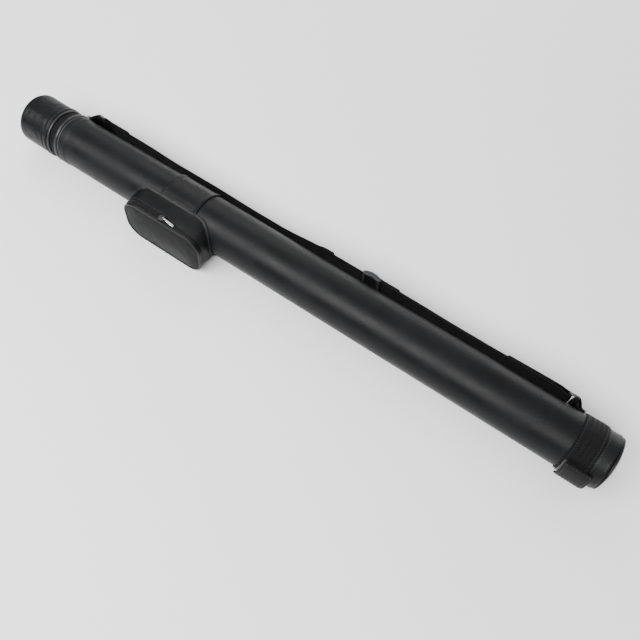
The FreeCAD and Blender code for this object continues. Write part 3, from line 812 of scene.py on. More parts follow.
def build_mouth():
    """The bead and the cloth band at the mouth, and the linings of the compartments."""
    bead = rounded([
        (63.4, 30.0, 0), (68.4, 30.0, 0), (68.45, 32.0, 0.8), (67.6, 33.1, 1.2),
        (65.9, 33.45, 1.4), (64.2, 33.1, 1.2), (63.35, 32.0, 0.8)], 1.0)
    put(lathe("mouth_bead_ring", bead, "gloss_bead", 144), "tube", "bead_plastic",
        "mouth_bead")
    cloth = rounded([(56.2, 29.97, 0), (63.0, 29.97, 0), (63.0, 31.6, 0.4),
                     (56.2, 31.6, 0.4)], 0.4)
    put(lathe("neck_cloth_band", dense(cloth, 1.5), "neck_cloth", 144, leather_wall(0.05, 8)),
        "tube", "webbing", "neck_band")
    linings = []
    for back, bore in ((11.8, 16.6), (-17.0, 11.5)):
        rows = []
        for station in (34.0, 34.6, 60, 120, 240, 480, 819.9):
            flare = bore - (0.1 if station > 34.1 else 0.0)
            rows.append([
                at(station, back + radius * math.cos(t), radius * math.sin(t))
                for radius, way in ((flare, 1), (flare - 0.3, -1))
                for t in (way * 2 * math.pi * k / 48 for k in range(49))])
        linings.append(skin("bore", rows, False, True, "lining", capped=False))
    put(merge("compartment_linings", linings), "tube", "lining", "butt_liner", "shaft_liner")


def corner_arc(station, radius, size, steps=8):
    """Outline points round an end's corner, from the side to the flat."""
    return [
        (station + size * math.sin(t), radius + size * math.cos(t))
        for t in (math.pi / 2 * k / steps for k in range(steps + 1))]


def gathered(station, radius, angle):
    """Leatherette drawn round the closed end: faint pleats on the corner."""
    pull = blend_between(826.0, 832.0, station) * blend_between(20.0, 27.0, radius)
    pleat = math.sin(math.radians(angle) * 46 + 2.0 * ripple((angle, 0, 0), 17.0))
    wave = ripple((station, angle * 0.55, 3.0), 13.0)
    ridge = math.exp(-((station - 830.6) / 0.9) ** 2) - math.exp(
        -((station - 832.4) / 0.7) ** 2)
    outside = blend_between(25.5, 28.0, radius)
    return radius + 0.13 * pull * pleat + (0.12 * wave + 0.38 * ridge) * outside


def build_base():
    """The closed end: its cover, piping, end disc and seams."""
    corner = (BASE_CORNER_STATION, BASE_CORNER_RADIUS)
    outer = [(817.2, 32.45), (820.0, 32.5)] + corner_arc(*corner, BASE_CORNER_SIZE, 14)
    inner = corner_arc(*corner, BASE_CORNER_SIZE - 1.0, 8)[::-1]
    outline = outer + [(837.0, 20.0), (837.0, 0.0), (836.0, 0.0)] + inner + [(817.2, 31.5)]
    cap = lathe("base_cover", dense(outline, 0.9), "base_leather", 184, gathered)
    put(cap, "tube", "leatherette", "base_cap")

    slope = math.radians(50)
    station = BASE_CORNER_STATION + BASE_CORNER_SIZE * math.cos(slope)
    radius = BASE_CORNER_RADIUS + BASE_CORNER_SIZE * math.sin(slope)
    ring = []
    for step in range(180):
        angle = 2 * math.pi * step / 180
        swell = radius + 0.05 * math.sin(9 * angle)
        ring.append((station, -swell * math.sin(angle), swell * math.cos(angle)))
    cord = cord_round("base_piping_cord", ring, 1.1, "shaded_piping_leather")
    put(cord, "tube", "piping", "base_piping")

    outline = rounded([(837.0, 0, 0), (837.0, 23.4, 0), (838.0, 22.9, 0.6), (838.0, 0, 0)], 0.6)
    disc = lathe("base_end_disc", dense(outline, 2.0), "base_leather", 120)
    put(disc, "tube", "leatherette", "base_disc")
    seam = stitches("base_seams", [
        [(p, Vector((1, 0, 0))) for p, n in hoop_line(838.0, 21.3)],
        hoop_line(818.9, 32.52)])
    put(seam, "tube", "leatherette")


# ---------------------------------------------------------------- band and tail

def curved_webbing(name, path, start, end, thickness, finish_name, columns=14, closed=False):
    """Webbing that runs round the tube along (angle, radius) points, between two stations."""
    middle = [around(0, radius, angle) for angle, radius in path]
    rows = []
    count = len(path)
    for index, here in enumerate(middle):
        before = middle[(index - 1) % count if closed else max(index - 1, 0)]
        after = middle[(index + 1) % count if closed else min(index + 1, count - 1)]
        way = (after - before).normalized()
        side = Vector((1, 0, 0)).cross(way).normalized()
        top, under = [], []
        for column in range(columns + 1):
            part = 2.0 * column / columns - 1.0
            half = thickness / 2 * (1.0 - 0.5 * abs(part) ** 12) * MM
            drift = 0.25 * ripple((path[index][0] * 0.4, part * 9, 1.0), 8.0) * abs(part)
            station = start + (end - start) * column / columns + drift
            spot = here + Vector((station * MM, 0, 0))
            top.append(spot + side * half)
            under.append(spot - side * half)
        rows.append(top + under[::-1])
    return skin(name, rows, closed, True, finish_name, capped=not closed)


def pressed(angle):
    """How far the case's weight flattens trim at this place round the tube."""
    return blend_between(148.0, 166.0, angle) * (1 - blend_between(194.0, 212.0, angle))


def build_band():
    """The ribbed band round the closed end, its hook tape and the folded tail over it."""
    ribs = round(2 * math.pi * 34.1 * MM / sizes().band_pitch)
    loop = []
    for k in range(ribs * 8):
        angle = 45.0 * k / ribs
        swell = 0.16 * math.cos(2 * math.pi * k / 8) + 0.05 * ripple((k / 16, 0, 0), 11.0)
        loop.append((angle, 33.3 + swell - pressed(angle) * (0.06 + max(swell, 0.0))))
    band = curved_webbing("webbing_band_loop", loop, BAND_START, BAND_END, 1.55,
                          "band_webbing", 18, closed=True)
    put(band, "tube", "webbing", "webbing_band")
    rows = [hoop_line(station, 34.1) for station in (BAND_START + 2.2, BAND_END - 2.2)]
    put(stitches("band_stitches", rows, "dark_thread"), "tube", "webbing")

    first, last = BAND_START + 2.0, BAND_END - 1.0
    patch = lathe("hook_tape", rounded([(first, 34.12, 0), (last, 34.12, 0),
                                        (last, 35.3, 0.3), (first, 35.3, 0.3)], 0.3),
                  "hook_cloth", 40, None, (58.5, 117.5))
    put(patch, "tube", "hook_tape", "hook_patch")

    path = [(57.0 + k * 1.5, 36.75) for k in range(40)]
    path += [(117.6, 36.85), (118.7, 37.2), (119.1, 37.6), (118.7, 38.0), (117.6, 38.35)]
    path += [(115.5 - k * 1.5, 38.42 - 0.16 * math.sin(k / 3.1)) for k in range(38)]
    path += [(58.2, 38.2), (57.0, 37.9)]
    tail = curved_webbing("peel_tail", path, TAIL_START, TAIL_END, 1.5, "band_webbing", 18)
    put(tail, "band_tail", "webbing", "band_tail")
    box = []
    first, last = TAIL_START + 2.3, TAIL_END - 2.3
    for angle in (60.0, 114.0):
        stations = [first + k * 2.11 for k in range(13)]
        box.append([outward(around(station, 39.2, angle)) for station in stations])
    for station in (first, last):
        box.append(hoop_line(station, 39.2, 60.0, 114.0, 40))
    put(stitches("tail_stitches", box), "band_tail", "webbing")
    tacks = [hoop_line(station, 39.28, first, first + 2.2, 4)
             for station, first in ((795.2, 108.5), (797.6, 112.0), (820.2, 111.0),
                                    (822.2, 113.5))]
    put(stitches("tail_tacks", tacks, "tacking", 0.7, 0.4), "band_tail", "webbing")


# ---------------------------------------------------------------- lid

def build_lid():
    """The lid's cover with its turned hem, end patch, rim bead and foam pad."""
    side = [(42.4, 33.0), (43.0, 32.75), (43.4, 32.45), (43.9, 32.7), (44.5, 33.4),
            (45.4, 33.62), (47.2, 33.66), (49.0, 33.6), (49.8, 33.3), (50.2, 32.8),
            (50.8, 32.6)]
    middle = LID_CORNER_STATION
    outer = [(middle - (s - middle), r) for s, r in corner_arc(middle, 28.0, 5.0, 8)][::-1]
    inner = [(1.8, 28.0), (3.0, 30.9), (middle, 32.0), (50.8, 32.0)]
    outline = [(0.8, 0.0)] + outer + side + inner[::-1] + [(1.8, 0.0)]
    cover = lathe("lid_leather_cover", dense(outline, 1.7), "lid_leather", 168,
                  leather_wall(0.34, 11.0, 15.0))
    put(cover, "lid", "leatherette", "lid_cover", "lid_hem")

    disc = lathe("lid_end_patch", dense(rounded([
        (0.8, 0, 0), (0.8, 23.9, 0), (0.0, 23.2, 0.5), (0.0, 0, 0)], 0.5), 2.0),
        "lid_leather", 120)
    put(disc, "lid", "leatherette", "lid_end_disc")
    bead = rounded([
        (50.9, 30.3, 0), (54.4, 30.3, 0), (54.45, 32.2, 0.6), (53.7, 33.0, 0.9),
        (52.6, 33.2, 1.0), (51.5, 33.0, 0.9), (50.9, 32.2, 0.6)], 0.8)
    put(lathe("lid_rim_bead", bead, "gloss_bead", 144), "lid", "bead_plastic", "lid_bead")
    pad = rounded([(4.6, 0, 0), (4.6, 30.0, 0.8), (8.8, 30.0, 1.2), (8.9, 0, 0)], 1.0)
    put(lathe("lid_foam_pad", dense(pad, 3.0), "foam", 96), "lid", "foam", "lid_pad")
    seam = stitches("lid_stitches", [
        hoop_line(48.4, 33.66),
        [(p, Vector((-1, 0, 0))) for p, n in hoop_line(0.0, 21.6)]])
    put(seam, "lid", "leatherette")


# ---------------------------------------------------------------- shoulder strap

def sag(station):
    """How far the strap's middle hangs below its rings."""
    drop = -6.0 * blend_between(110, 350, station) * (1 - blend_between(380, 441, station))
    return drop - 2.0 * blend_between(535, 640, station) * (1 - blend_between(660, 748, station))


def lean(station, part):
    """Sideways lean of the strap between its fittings."""
    free = blend_between(125, 190, station) * (1 - blend_between(405, 440, station))
    free += blend_between(545, 600, station) * (1 - blend_between(650, 685, station))
    wave = ripple((station, 0.0, 7.0), 85.0)
    return free * (0.9 * wave - 0.7 * part * ripple((station, 0, 0), 60.0, 4.0))


def bar_loop(station, start, end, radius=2.7, steps=12):
    """Path points round a ring's bar, between two angles in degrees."""
    return [
        (station + radius * math.cos(t), STRAP_BACK + radius * math.sin(t))
        for t in (math.radians(start + (end - start) * k / steps) for k in range(steps + 1))]


def build_strap():
    """The strap's upper, lower and return runs, with their sewing."""
    path = [(132.0, 40.68), (117.0, 40.68), (103.0, 40.72), (96.6, 41.3)]
    path += bar_loop(UPPER_BAR + RING_LENGTH, 70, 290)
    path += [(96.8, 37.3), (100.0, 38.5), (104.0, STRAP_BACK), (110.0, STRAP_BACK)]
    path += [(float(s), STRAP_BACK) for s in range(118, 434, 6)]
    path += [(435.5, 39.05), (438.5, 39.6), (441.5, 40.5), (445.0, 40.95), (457.0, 41.0)]
    upper = ribbon("strap_upper_run", path, STRAP_WIDTH, 1.5, "webbing", sag, lean)
    close_up(upper, UPPER_BAR + RING_LENGTH - 2.0, -1.3)
    put(upper, "upper_strap", "webbing", "upper_strap")

    path = [(446.2, STRAP_BACK)] + [(float(s), STRAP_BACK) for s in range(452, 746, 6)]
    path += [(749.0, STRAP_BACK), (753.0, STRAP_BACK), (757.0, 38.5), (760.2, 37.3)]
    path += bar_loop(LOWER_BAR, -110, 110)
    path += [(759.4, 41.8), (756.0, 42.5), (751.0, 42.68)]
    path += [(float(s), 42.68) for s in range(744, 689, -6)]
    lower = ribbon("strap_lower_run", path, STRAP_WIDTH, 1.45, "webbing", sag, lean)
    close_up(lower, LOWER_BAR + 2.0, 1.3)
    put(lower, "lower_strap", "webbing", "lower_strap")

    path = [(float(s), 40.85) for s in range(748, 522, -6)]
    path += [(517.0, 40.85), (514.0, 40.8), (511.5, 40.75), (509.6, 41.3), (508.9, 42.55),
             (509.6, 43.8), (511.5, 44.35), (514.5, 44.3), (519.0, 43.4), (524.0, 42.6)]
    path += [(float(s), 42.45) for s in range(530, 549, 6)]
    back = ribbon("strap_return_run", path, 33.8, 1.4, "webbing", sag, lean)
    put(back, "strap_adjuster", "webbing", "return_strap")

    def box_rows(first, last, back):
        out = []
        for station in (first, last):
            out.append(face_line([(station, back, -14.5 + sag(station)),
                                  (station, back, 14.5 + sag(station))], (0, 1, 0)))
        for level in (-14.5, 14.5):
            out.append(face_line([(first, back, level + sag(first)),
                                  (last, back, level + sag(last))], (0, 1, 0)))
        return out

    put(stitches("upper_strap_sewing", box_rows(102.0, 129.0, 41.45)),
        "upper_strap", "webbing")
    put(stitches("lower_strap_sewing", box_rows(693.0, 718.0, 43.45)),
        "lower_strap", "webbing")
    put(stitches("return_strap_sewing", box_rows(529.0, 545.5, 43.2)),
        "strap_adjuster", "webbing")


def close_up(made, ring, reach):
    """Draw a webbing loop's lower part along its ring, towards the loop it faces."""
    for vertex in made.data.vertices:
        station = (vertex.co.x - START_X) / MM
        level = (vertex.co.z - AXIS_Z) / MM
        near = math.exp(-((station - ring - 1.2 * math.copysign(1, reach)) / 2.6) ** 2)
        low = 1.0 - blend_between(3.0, 19.0, level)
        vertex.co.x += reach * near * low * MM


def build_tabs():
    """Tabs sewn to the tube at their roots: flat on the tube, then looped round a bar."""
    for name, bar, way, foot in (
        ("upper", UPPER_BAR, 1, 34.0), ("lower", LOWER_BAR + RING_LENGTH, -1, 33.4),
    ):
        out = [(-13.4, foot, 1), (-8.0, foot, 1), (-5.2, foot + 0.4, 0.85),
               (-3.2, foot + 1.5, 0.4), (-1.6, 36.6, 0.06)]
        turn = [(s, back, 0.0) for s, back in bar_loop(0.0, -100, 100)]
        home = [(-2.4, 40.9, 0.06), (-5.0, 38.9, 0.45), (-7.5, foot + 2.6, 0.9),
                (-10.0, foot + 1.72, 1), (-13.0, foot + 1.66, 1)]
        path = [(bar + way * s, back, curl) for s, back, curl in out + turn + home]
        tab = tab_webbing(f"{name}_strap_tab", path, STRAP_WIDTH, 1.5)
        close_up(tab, bar + way * 2.0, 1.3 * way)
        put(tab, "tube", "webbing", f"{name}_tab")
        rows = [hoop_line(bar + way * offset, foot + 2.45, -115.0, -65.0, 40)
                for offset in (-11.8, -8.8)]
        put(stitches(f"{name}_tab_sewing", rows), "tube", "webbing")


def tab_webbing(name, path, width, thickness, columns=16):
    """Webbing along (station, back, curl) points; curl 1 hugs the tube and 0 is flat."""
    rows = []
    for index, (station, back, curl) in enumerate(path):
        before, after = path[max(index - 1, 0)], path[min(index + 1, len(path) - 1)]
        way = Vector((after[0] - before[0], after[1] - before[1])).normalized()
        side = Vector((-way.y, way.x))
        lines = ([], [])
        for column in range(columns + 1):
            part = 2.0 * column / columns - 1.0
            level = part * width / 2
            drop = curl * (34.0 - math.sqrt(34.0 ** 2 - level ** 2))
            half = thickness / 2 * (1.0 - 0.45 * abs(part) ** 10)
            for sign, line in zip((1, -1), lines):
                spot = side * (sign * half)
                line.append(at(station + spot.x, back + spot.y - drop, level))
        rows.append(lines[0] + lines[1][::-1])
    return skin(name, rows, False, True, "webbing", capped=True)


def build_rings():
    """The two wire rings that carry the strap."""
    for name, low in (("upper", UPPER_BAR), ("lower", LOWER_BAR)):
        high = low + RING_LENGTH
        corners = [(low, -19.6), (low, 19.6), (high, 19.6), (high, -19.6)]
        loop = dense(rounded(corners, 3.6, 6), 2.5)
        wire = cord_round(f"{name}_wire_ring", [(s, STRAP_BACK, z) for s, z in loop], 1.58,
                          "black_wire", True, 14)
        put(wire, f"{name}_strap", "black_metal", f"{name}_ring")


def build_adjuster():
    """The adjuster: two side rails and three bars."""
    parts = []
    for sign in (1, -1):
        low, high = sorted((sign * 17.4, sign * 21.0))
        rail = [(500.0, 37.4), (501.2, 36.2), (505.0, 36.3), (512.0, 37.6), (519.0, 36.3),
                (522.8, 36.2), (524.0, 37.4), (524.0, 39.4), (521.5, 41.2), (517.0, 42.9),
                (512.0, 43.4), (507.0, 42.9), (502.5, 41.2), (500.0, 39.4)]
        outline = [(s, b, 0.0) for s, b in rail]
        parts.append(slab("rail", outline, (0, 0, low), (0, 0, high), "black_plastic", 0.7))
    for first, level in ((500.4, 36.2), (510.4, 41.7), (520.4, 36.2)):
        bar = rounded([(first, level), (first + 3.2, level), (first + 3.2, level + 1.7),
                       (first, level + 1.7)], 0.75, 3)
        outline = [(s, b, 0.0) for s, b in bar]
        parts.append(slab("bar", outline, (0, 0, -18.0), (0, 0, 18.0), "black_plastic", 0.1))
    put(merge("strap_adjuster_frame", parts), "strap_adjuster", "black_plastic",
        "strap_slider")


# ---------------------------------------------------------------- pouch

POUCH_STATION, POUCH_LEVEL = 262.0, -3.1
POUCH_HALF_LENGTH, POUCH_HALF_HEIGHT, POUCH_CORNER = 59.0, 29.2, 21.0
POUCH_FRONT, POUCH_FLOOR, ZIP_DEPTH = 51.4, -32.8, 6.0
FLANGE_END = 163.0
FILLING_FRAMES = 20
LEAN = math.radians(7.0)
TAPER = math.tan(math.radians(5.5))


def pouch_outline(step=2.0):
    """The pouch's front outline as (station, level, outward station, outward level).

    It starts at the middle of the top and runs towards the lid.
    """
    wide, tall = POUCH_HALF_LENGTH - POUCH_CORNER, POUCH_HALF_HEIGHT - POUCH_CORNER
    out = []

    def straight(start, end, way):
        count = max(int(math.dist(start, end) / step), 1)
        for k in range(count):
            part = k / count
            out.append((start[0] + (end[0] - start[0]) * part,
                        start[1] + (end[1] - start[1]) * part, *way))

    def corner(centre, first):
        count = int(POUCH_CORNER * math.pi / 2 / step)
        for k in range(count):
            t = math.radians(first + 90.0 * k / count)
            way = (math.cos(t), math.sin(t))
            out.append((centre[0] + POUCH_CORNER * way[0], centre[1] + POUCH_CORNER * way[1],
                        *way))

    top, low = POUCH_LEVEL + POUCH_HALF_HEIGHT, POUCH_LEVEL - POUCH_HALF_HEIGHT
    left, right = POUCH_STATION - POUCH_HALF_LENGTH, POUCH_STATION + POUCH_HALF_LENGTH
    s, z = POUCH_STATION, POUCH_LEVEL
    straight((s, top), (s - wide, top), (0, 1))
    corner((s - wide, z + tall), 90)
    straight((left, z + tall), (left, z - tall), (-1, 0))
    corner((s - wide, z - tall), 180)
    straight((s - wide, low), (s + wide, low), (0, -1))
    corner((s + wide, z - tall), 270)
    straight((right, z - tall), (right, z + tall), (1, 0))
    corner((s + wide, z + tall), 0)
    straight((s + wide, top), (s, top), (0, 1))
    return out


def underneath(place):
    """Whether a place of the outline faces the ground, where cloth has no room to swell."""
    return place[3] < -0.5


def front_reach(depth, level):
    """How far in front of the axis a plane behind the pouch's front lies."""
    return POUCH_FRONT - depth / math.cos(LEAN) - level * math.tan(LEAN)


def pouch_side(place, reach, grow):
    """A point on the pouch's side at a distance in front of the axis."""
    swell = (POUCH_FRONT - reach) * TAPER + grow
    level = max(place[1] + place[3] * swell, POUCH_FLOOR - grow)
    return place[0] + place[2] * swell, -reach, level


def pouch_at(place, depth, grow=0.0):
    """A point on the pouch's side at a depth behind its front plane."""
    level = place[1]
    for repeat in range(5):
        spot = pouch_side(place, front_reach(depth, level), grow)
        level = spot[2]
    return spot


def seat_reach(place, radius, grow=0.0):
    """How far in front of the axis the pouch's side meets the tube."""
    reach = 46.0
    while reach > 4.0:
        station, back, level = pouch_side(place, reach, grow)
        if math.hypot(back, level) <= radius:
            return reach
        reach -= 0.25
    return reach


def build_pouch_gusset():
    """The pouch's rear gusset, from the zip back to the tube, with a sewn flange."""
    rows, foot_line = [], []
    for place in pouch_outline():
        start = -pouch_at(place, ZIP_DEPTH + 0.25)[1]
        end = seat_reach(place, 34.6)
        outer, inner = [], []
        for step in range(9):
            part = step / 8
            reach = start + (end - start) * part
            swell = 1.1 * math.sin(math.pi * part) * (0.75 + 0.5 * ripple(
                (place[0], place[1], part * 6), 24.0, 3.0))
            crease = 0.35 * ripple((place[0] * 1.2, place[1] * 1.2, part * 30), 9.0, 1.0)
            grow = swell + crease * part
            grow = min(grow, 0.1) if underneath(place) else grow
            outer.append(at(*pouch_side(place, reach, grow)))
            inner.append(at(*pouch_side(place, reach, grow - 1.2)))
        rows.append(outer + inner[::-1])
        station, back, level = pouch_side(place, end, 0.0)
        foot_line.append((station, math.degrees(math.atan2(-back, level)), place))
    gusset = skin("pouch_rear_gusset", rows, True, True, "pouch_leather")
    put(gusset, "tube", "leatherette", "pouch_gusset")

    rows, sewing = [], []
    for station, angle, place in foot_line:
        row = []
        side = Vector((place[2], -place[3]))
        for offset, radius in ((-9.0, 34.15), (-1.0, 34.3), (1.5, 34.25), (3.4, 34.0),
                               (3.6, 33.7), (3.2, 33.2), (-9.0, 33.2)):
            turn = angle + math.degrees(side.y * offset / 34.0)
            row.append(around(station + side.x * offset, radius, min(turn, FLANGE_END)))
        rows.append(row)
        turn = min(angle + math.degrees(side.y * 2.2 / 34.0), FLANGE_END)
        spot = around(station + side.x * 2.2, 34.3, turn)
        sewing.append((spot, (spot - around(station, 0, 0)).normalized()))
    flange = skin("pouch_flange", rows, True, True, "pouch_leather")
    put(flange, "tube", "leatherette", "pouch_back")
    put(stitches("pouch_flange_stitches", [sewing]), "tube", "leatherette")


def build_flap_gusset():
    """The narrow gusset between the zip and the pouch's front."""
    rows = []
    for place in pouch_outline():
        outer, inner = [], []
        for step in range(6):
            part = step / 5
            depth = 1.2 + (ZIP_DEPTH - 0.25 - 1.2) * part
            swell = 0.45 * math.sin(math.pi * part) + 0.12 * ripple(
                (place[0], place[1], part * 8), 11.0, 6.0)
            swell = min(swell, 0.1) if underneath(place) else swell
            outer.append(at(*pouch_at(place, depth, swell)))
            inner.append(at(*pouch_at(place, depth, swell - 1.2)))
        rows.append(outer + inner[::-1])
    gusset = skin("pouch_flap_gusset", rows, True, True, "pouch_leather")
    put(gusset, "pouch_flap", "leatherette", "flap_gusset")


def panel_point(place, part, depth):
    """A point of the front panel, part of the way from its middle to its edge."""
    middle = min(max(place[0], POUCH_STATION - 34.0), POUCH_STATION + 34.0)
    station = middle + (place[0] - middle) * part
    level = POUCH_LEVEL + (place[1] - POUCH_LEVEL) * part
    return station, -front_reach(depth, level), level


def behind_front(point):
    """How far behind the pouch's front plane a point of a mesh lies, in millimetres."""
    reach = (AXIS_Y - point.y) / MM
    level = (point.z - AXIS_Z) / MM
    return (POUCH_FRONT - reach - level * math.tan(LEAN)) * math.cos(LEAN)


def fill_out(panel, pressure, cap):
    """Swell a closed panel with a cloth simulation, held at its seam and its back."""
    before = [vertex.co.copy() for vertex in panel.data.vertices]
    held = panel.vertex_groups.new(name="held")
    for index, point in enumerate(before):
        held.add([index], blend_between(-0.5, 0.8, behind_front(point)), "REPLACE")
    cloth = panel.modifiers.new("filling", "CLOTH")
    cloth.settings.quality = 8
    cloth.settings.mass = 0.2
    cloth.settings.vertex_group_mass = "held"
    cloth.settings.pin_stiffness = 5.0
    cloth.settings.use_pressure = True
    cloth.settings.uniform_pressure_force = pressure
    cloth.settings.effector_weights.gravity = 0.0
    cloth.point_cache.frame_start, cloth.point_cache.frame_end = 1, FILLING_FRAMES
    scene = bpy.context.scene
    for frame_number in range(1, FILLING_FRAMES + 1):
        scene.frame_set(frame_number)
    settle(panel)
    scene.frame_set(1)
    panel.vertex_groups.clear()
    moved = 0.0
    for vertex, start in zip(panel.data.vertices, before):
        step = vertex.co - start
        moved = max(moved, step.length)
        if step.length > cap * MM:
            vertex.co = start + step.normalized() * cap * MM
    if not 0.0001 < moved < 0.1:
        raise RuntimeError(f"the filling moved the panel by {moved}")


def build_pouch_front():
    """The domed front panel, softly filled and drawn in at its piped edge."""
    outline = pouch_outline()
    rings = 22
    rows = []
    for place in outline:
        front, rear = [], []
        for step in range(rings + 1):
            part = (step / rings) ** 0.8
            rise = 1.0 - part ** 2.4
            spot = (place[0] * part, place[1] * part, part * 10)
            dent = 0.3 * ripple(spot, 24.0, 9.0) * rise
            front.append(at(*panel_point(place, part, 0.9 - 2.4 * rise - dent)))
            rear.append(at(*panel_point(place, part * 0.995, 2.2)))
        rows.append(front + rear[::-1])
    # The front panel takes the darker copy of the leatherette: painted shade.
    panel = skin("pouch_front_panel", rows, True, False, "shaded_panel_leather")
    fill_out(panel, 4.0, 1.6)
    put(panel, "pouch_flap", "leatherette", "pouch_front")

    ring = [pouch_at(place, 1.0, 0.15) for place in outline]
    ring = [(s, b, max(z, POUCH_FLOOR - 0.2)) for s, b, z in ring]
    cord = cord_round("pouch_piping_cord", ring, 1.15, "shaded_piping_leather")
    put(cord, "pouch_flap", "piping", "pouch_piping")
    lean_way = Vector((0, -math.cos(LEAN), -math.sin(LEAN)))
    sewing = [(at(*panel_point(place, 0.965, 0.45)), lean_way) for place in outline]
    sewing.append(sewing[0])
    put(stitches("pouch_front_stitches", [sewing]), "pouch_flap", "leatherette")


def build_sleeve():
    """The sleeve round the tube that carries the pouch, with a folded rim at each edge."""
    half = [(0.0, 32.6, 0), (-0.1, 34.3, 0.6), (1.6, 34.6, 0.8), (4.1, 33.75, 0.8)]
    outline = [(SLEEVE_START + inset, radius, size) for inset, radius, size in half]
    outline += [(SLEEVE_END - inset, radius, size) for inset, radius, size in half[::-1]]
    outline = rounded(outline[::-1], 0.5)
    lay = leather_wall(0.10, 4.0, 14.0)

    def seamed(station, radius, angle):
        grown = lay(station, radius, angle)
        if radius < 33.0:
            return grown
        ridge = math.exp(-((angle - 22.0) / 1.1) ** 2) - 0.8 * math.exp(
            -((angle - 25.6) / 0.7) ** 2)
        raised = grown + 0.5 * ridge
        return raised - pressed(angle) * max(raised - 34.05, 0.0)

    sleeve = lathe("pouch_sleeve_band", dense(outline, 2.2), "pouch_leather", 240, seamed)
    put(sleeve, "tube", "leatherette", "pouch_sleeve")
    rows = [hoop_line(station, 34.1) for station in (SLEEVE_START + 4.1, SLEEVE_END - 4.1)]
    rows.append([outward(around(SLEEVE_START + 4.5 + k * 1.93, 34.05, 19.6))
                 for k in range(25)])
    put(stitches("sleeve_stitches", rows), "tube", "leatherette")


# ---------------------------------------------------------------- zip

def zip_places():
    """The part of the pouch's outline that the zip follows, with its ends."""
    top = POUCH_LEVEL + POUCH_HALF_HEIGHT
    lead = [(268.0 - 0.6 * k, top, 0, 1) for k in range(11)]
    return lead + [p for p in pouch_outline(1.2) if p[0] < POUCH_STATION - 0.5]


def build_zip():
    """The two tapes of the zip and its two rows of teeth, one of each on the flap."""
    for name, near, far, body in (
        ("front", 2.4, ZIP_DEPTH - 0.3, "pouch_flap"),
        ("rear", ZIP_DEPTH + 0.3, ZIP_DEPTH + 6.2, "tube"),
    ):
        rows, sewing = [], []
        edge = 3.0 if name == "front" else ZIP_DEPTH + 5.4
        for place in zip_places():
            grows = (0.3, 0.3, 0.3, 0.3) if underneath(place) else (0.62, 0.66, 0.66, 0.62)
            depths = [near + (far - near) * k / 3 for k in range(4)]
            outer = [at(*pouch_at(place, depth, grow)) for depth, grow in zip(depths, grows)]
            inner = [at(*pouch_at(place, depth, grow - 0.4))
                     for depth, grow in zip(depths, grows)]
            rows.append(outer + inner[::-1])
            spot = at(*pouch_at(place, edge, grows[0] + 0.08))
            sewing.append((spot, Vector((place[2], 0, place[3])).normalized()))
        tape = skin(f"zip_{name}_tape", rows, False, True, "shaded_zip_cloth", capped=True)
        put(tape, body, "zip_tape", f"zip_tape_{name}")
        put(stitches(f"zip_{name}_stitches", [sewing], "thread", 0.5, 0.35), body, "zip_tape")

        depth = ZIP_DEPTH - 0.62 if name == "front" else ZIP_DEPTH + 0.62
        line = []
        for place in zip_places():
            lift = 0.55 if underneath(place) else 0.95
            spot = at(*pouch_at(place, depth, lift))
            line.append((spot, Vector((place[2], 0, place[3])).normalized()))
        if name == "rear":
            line = [(a[0].lerp(b[0], 0.5), a[1]) for a, b in zip(line, line[1:])]
        size = sizes()
        coil = row_of(f"zip_{name}_coil", [line], "zip_coil", size.tooth_pitch,
                      size.tooth_pitch * 0.72, 1.15 * MM, 0.95 * MM)
        put(coil, body, "zip_teeth", f"zip_teeth_{name}")


def build_zip_slider():
    """The slider, dark with its bridge over the coil, and a bright pull that lies back on it."""
    middle, level, pin_level = -42.27, 28.68, 31.28
    nose = [(258.1, -1.5), (258.9, -2.9), (261.4, -3.3), (264.8, -2.7), (266.9, -2.0)]
    outline = rounded(nose + [(s, -b) for s, b in nose[::-1]], 0.6, 3)
    plate = slab("plate", [(s, middle + b, 0.0) for s, b in outline], (0, 0, level),
                 (0, 0, level + 1.15), "black_wire", 0.4)
    bridge = [(260.2, level + 1.0), (261.4, level + 2.6), (264.4, level + 3.3),
              (266.4, level + 2.7), (266.9, level + 1.1)]
    parts = [plate]
    for side in (-2.45, 2.45):
        path = dense(rounded([(s, z) for s, z in bridge], 1.2, 5, closed=False), 0.5, False)
        parts.append(cord_round("ear", [(s, middle + side, z) for s, z in path], 0.45,
                                "black_wire", False, 10))
    pin = [(265.4, middle + offset, pin_level) for offset in (-2.7, -1.0, 1.0, 2.7)]
    parts.append(cord_round("pin", pin, 0.45, "black_wire", False, 12))
    put(merge("zip_slider_body", parts), "zip_slider", "nickel", "zip_slider")

    eye = []
    for k in range(24):
        t = 2 * math.pi * k / 24
        eye.append((265.4 + 0.9 * math.cos(t), middle, pin_level + 0.9 * math.sin(t)))
    parts = [cord_round("eye", eye, 0.38, "nickel", True, 10)]
    half = [(266.1, -0.8), (268.5, -1.0), (270.0, -1.25), (276.0, -1.6), (280.4, -1.9),
            (282.6, -1.5), (283.2, -0.5)]
    outline = rounded(half + [(s, -b) for s, b in half[::-1]], 0.9, 4)
    outline = [(s, 0.85 * b - 0.13 * max(s - 266.0, 0.0)) for s, b in outline]
    leaf = slab("leaf", [(s, middle + b, 0.0) for s, b in outline],
                (0, 0, pin_level - 0.45), (0, 0, pin_level + 0.45), "nickel", 0.36)
    parts.append(leaf)
    rim = dense(rounded([(271.5, -1.3), (280.6, -2.8), (280.6, -1.0), (271.5, -0.1)], 0.7,
                        4), 0.8)
    parts.append(cord_round("rim", [(s, middle + b, pin_level + 0.45) for s, b in rim], 0.14,
                            "nickel", True, 8))
    put(merge("zip_pull_tab", parts), "zip_pull", "nickel", "zip_pull")


# ---------------------------------------------------------------- pieces that stay as drawn

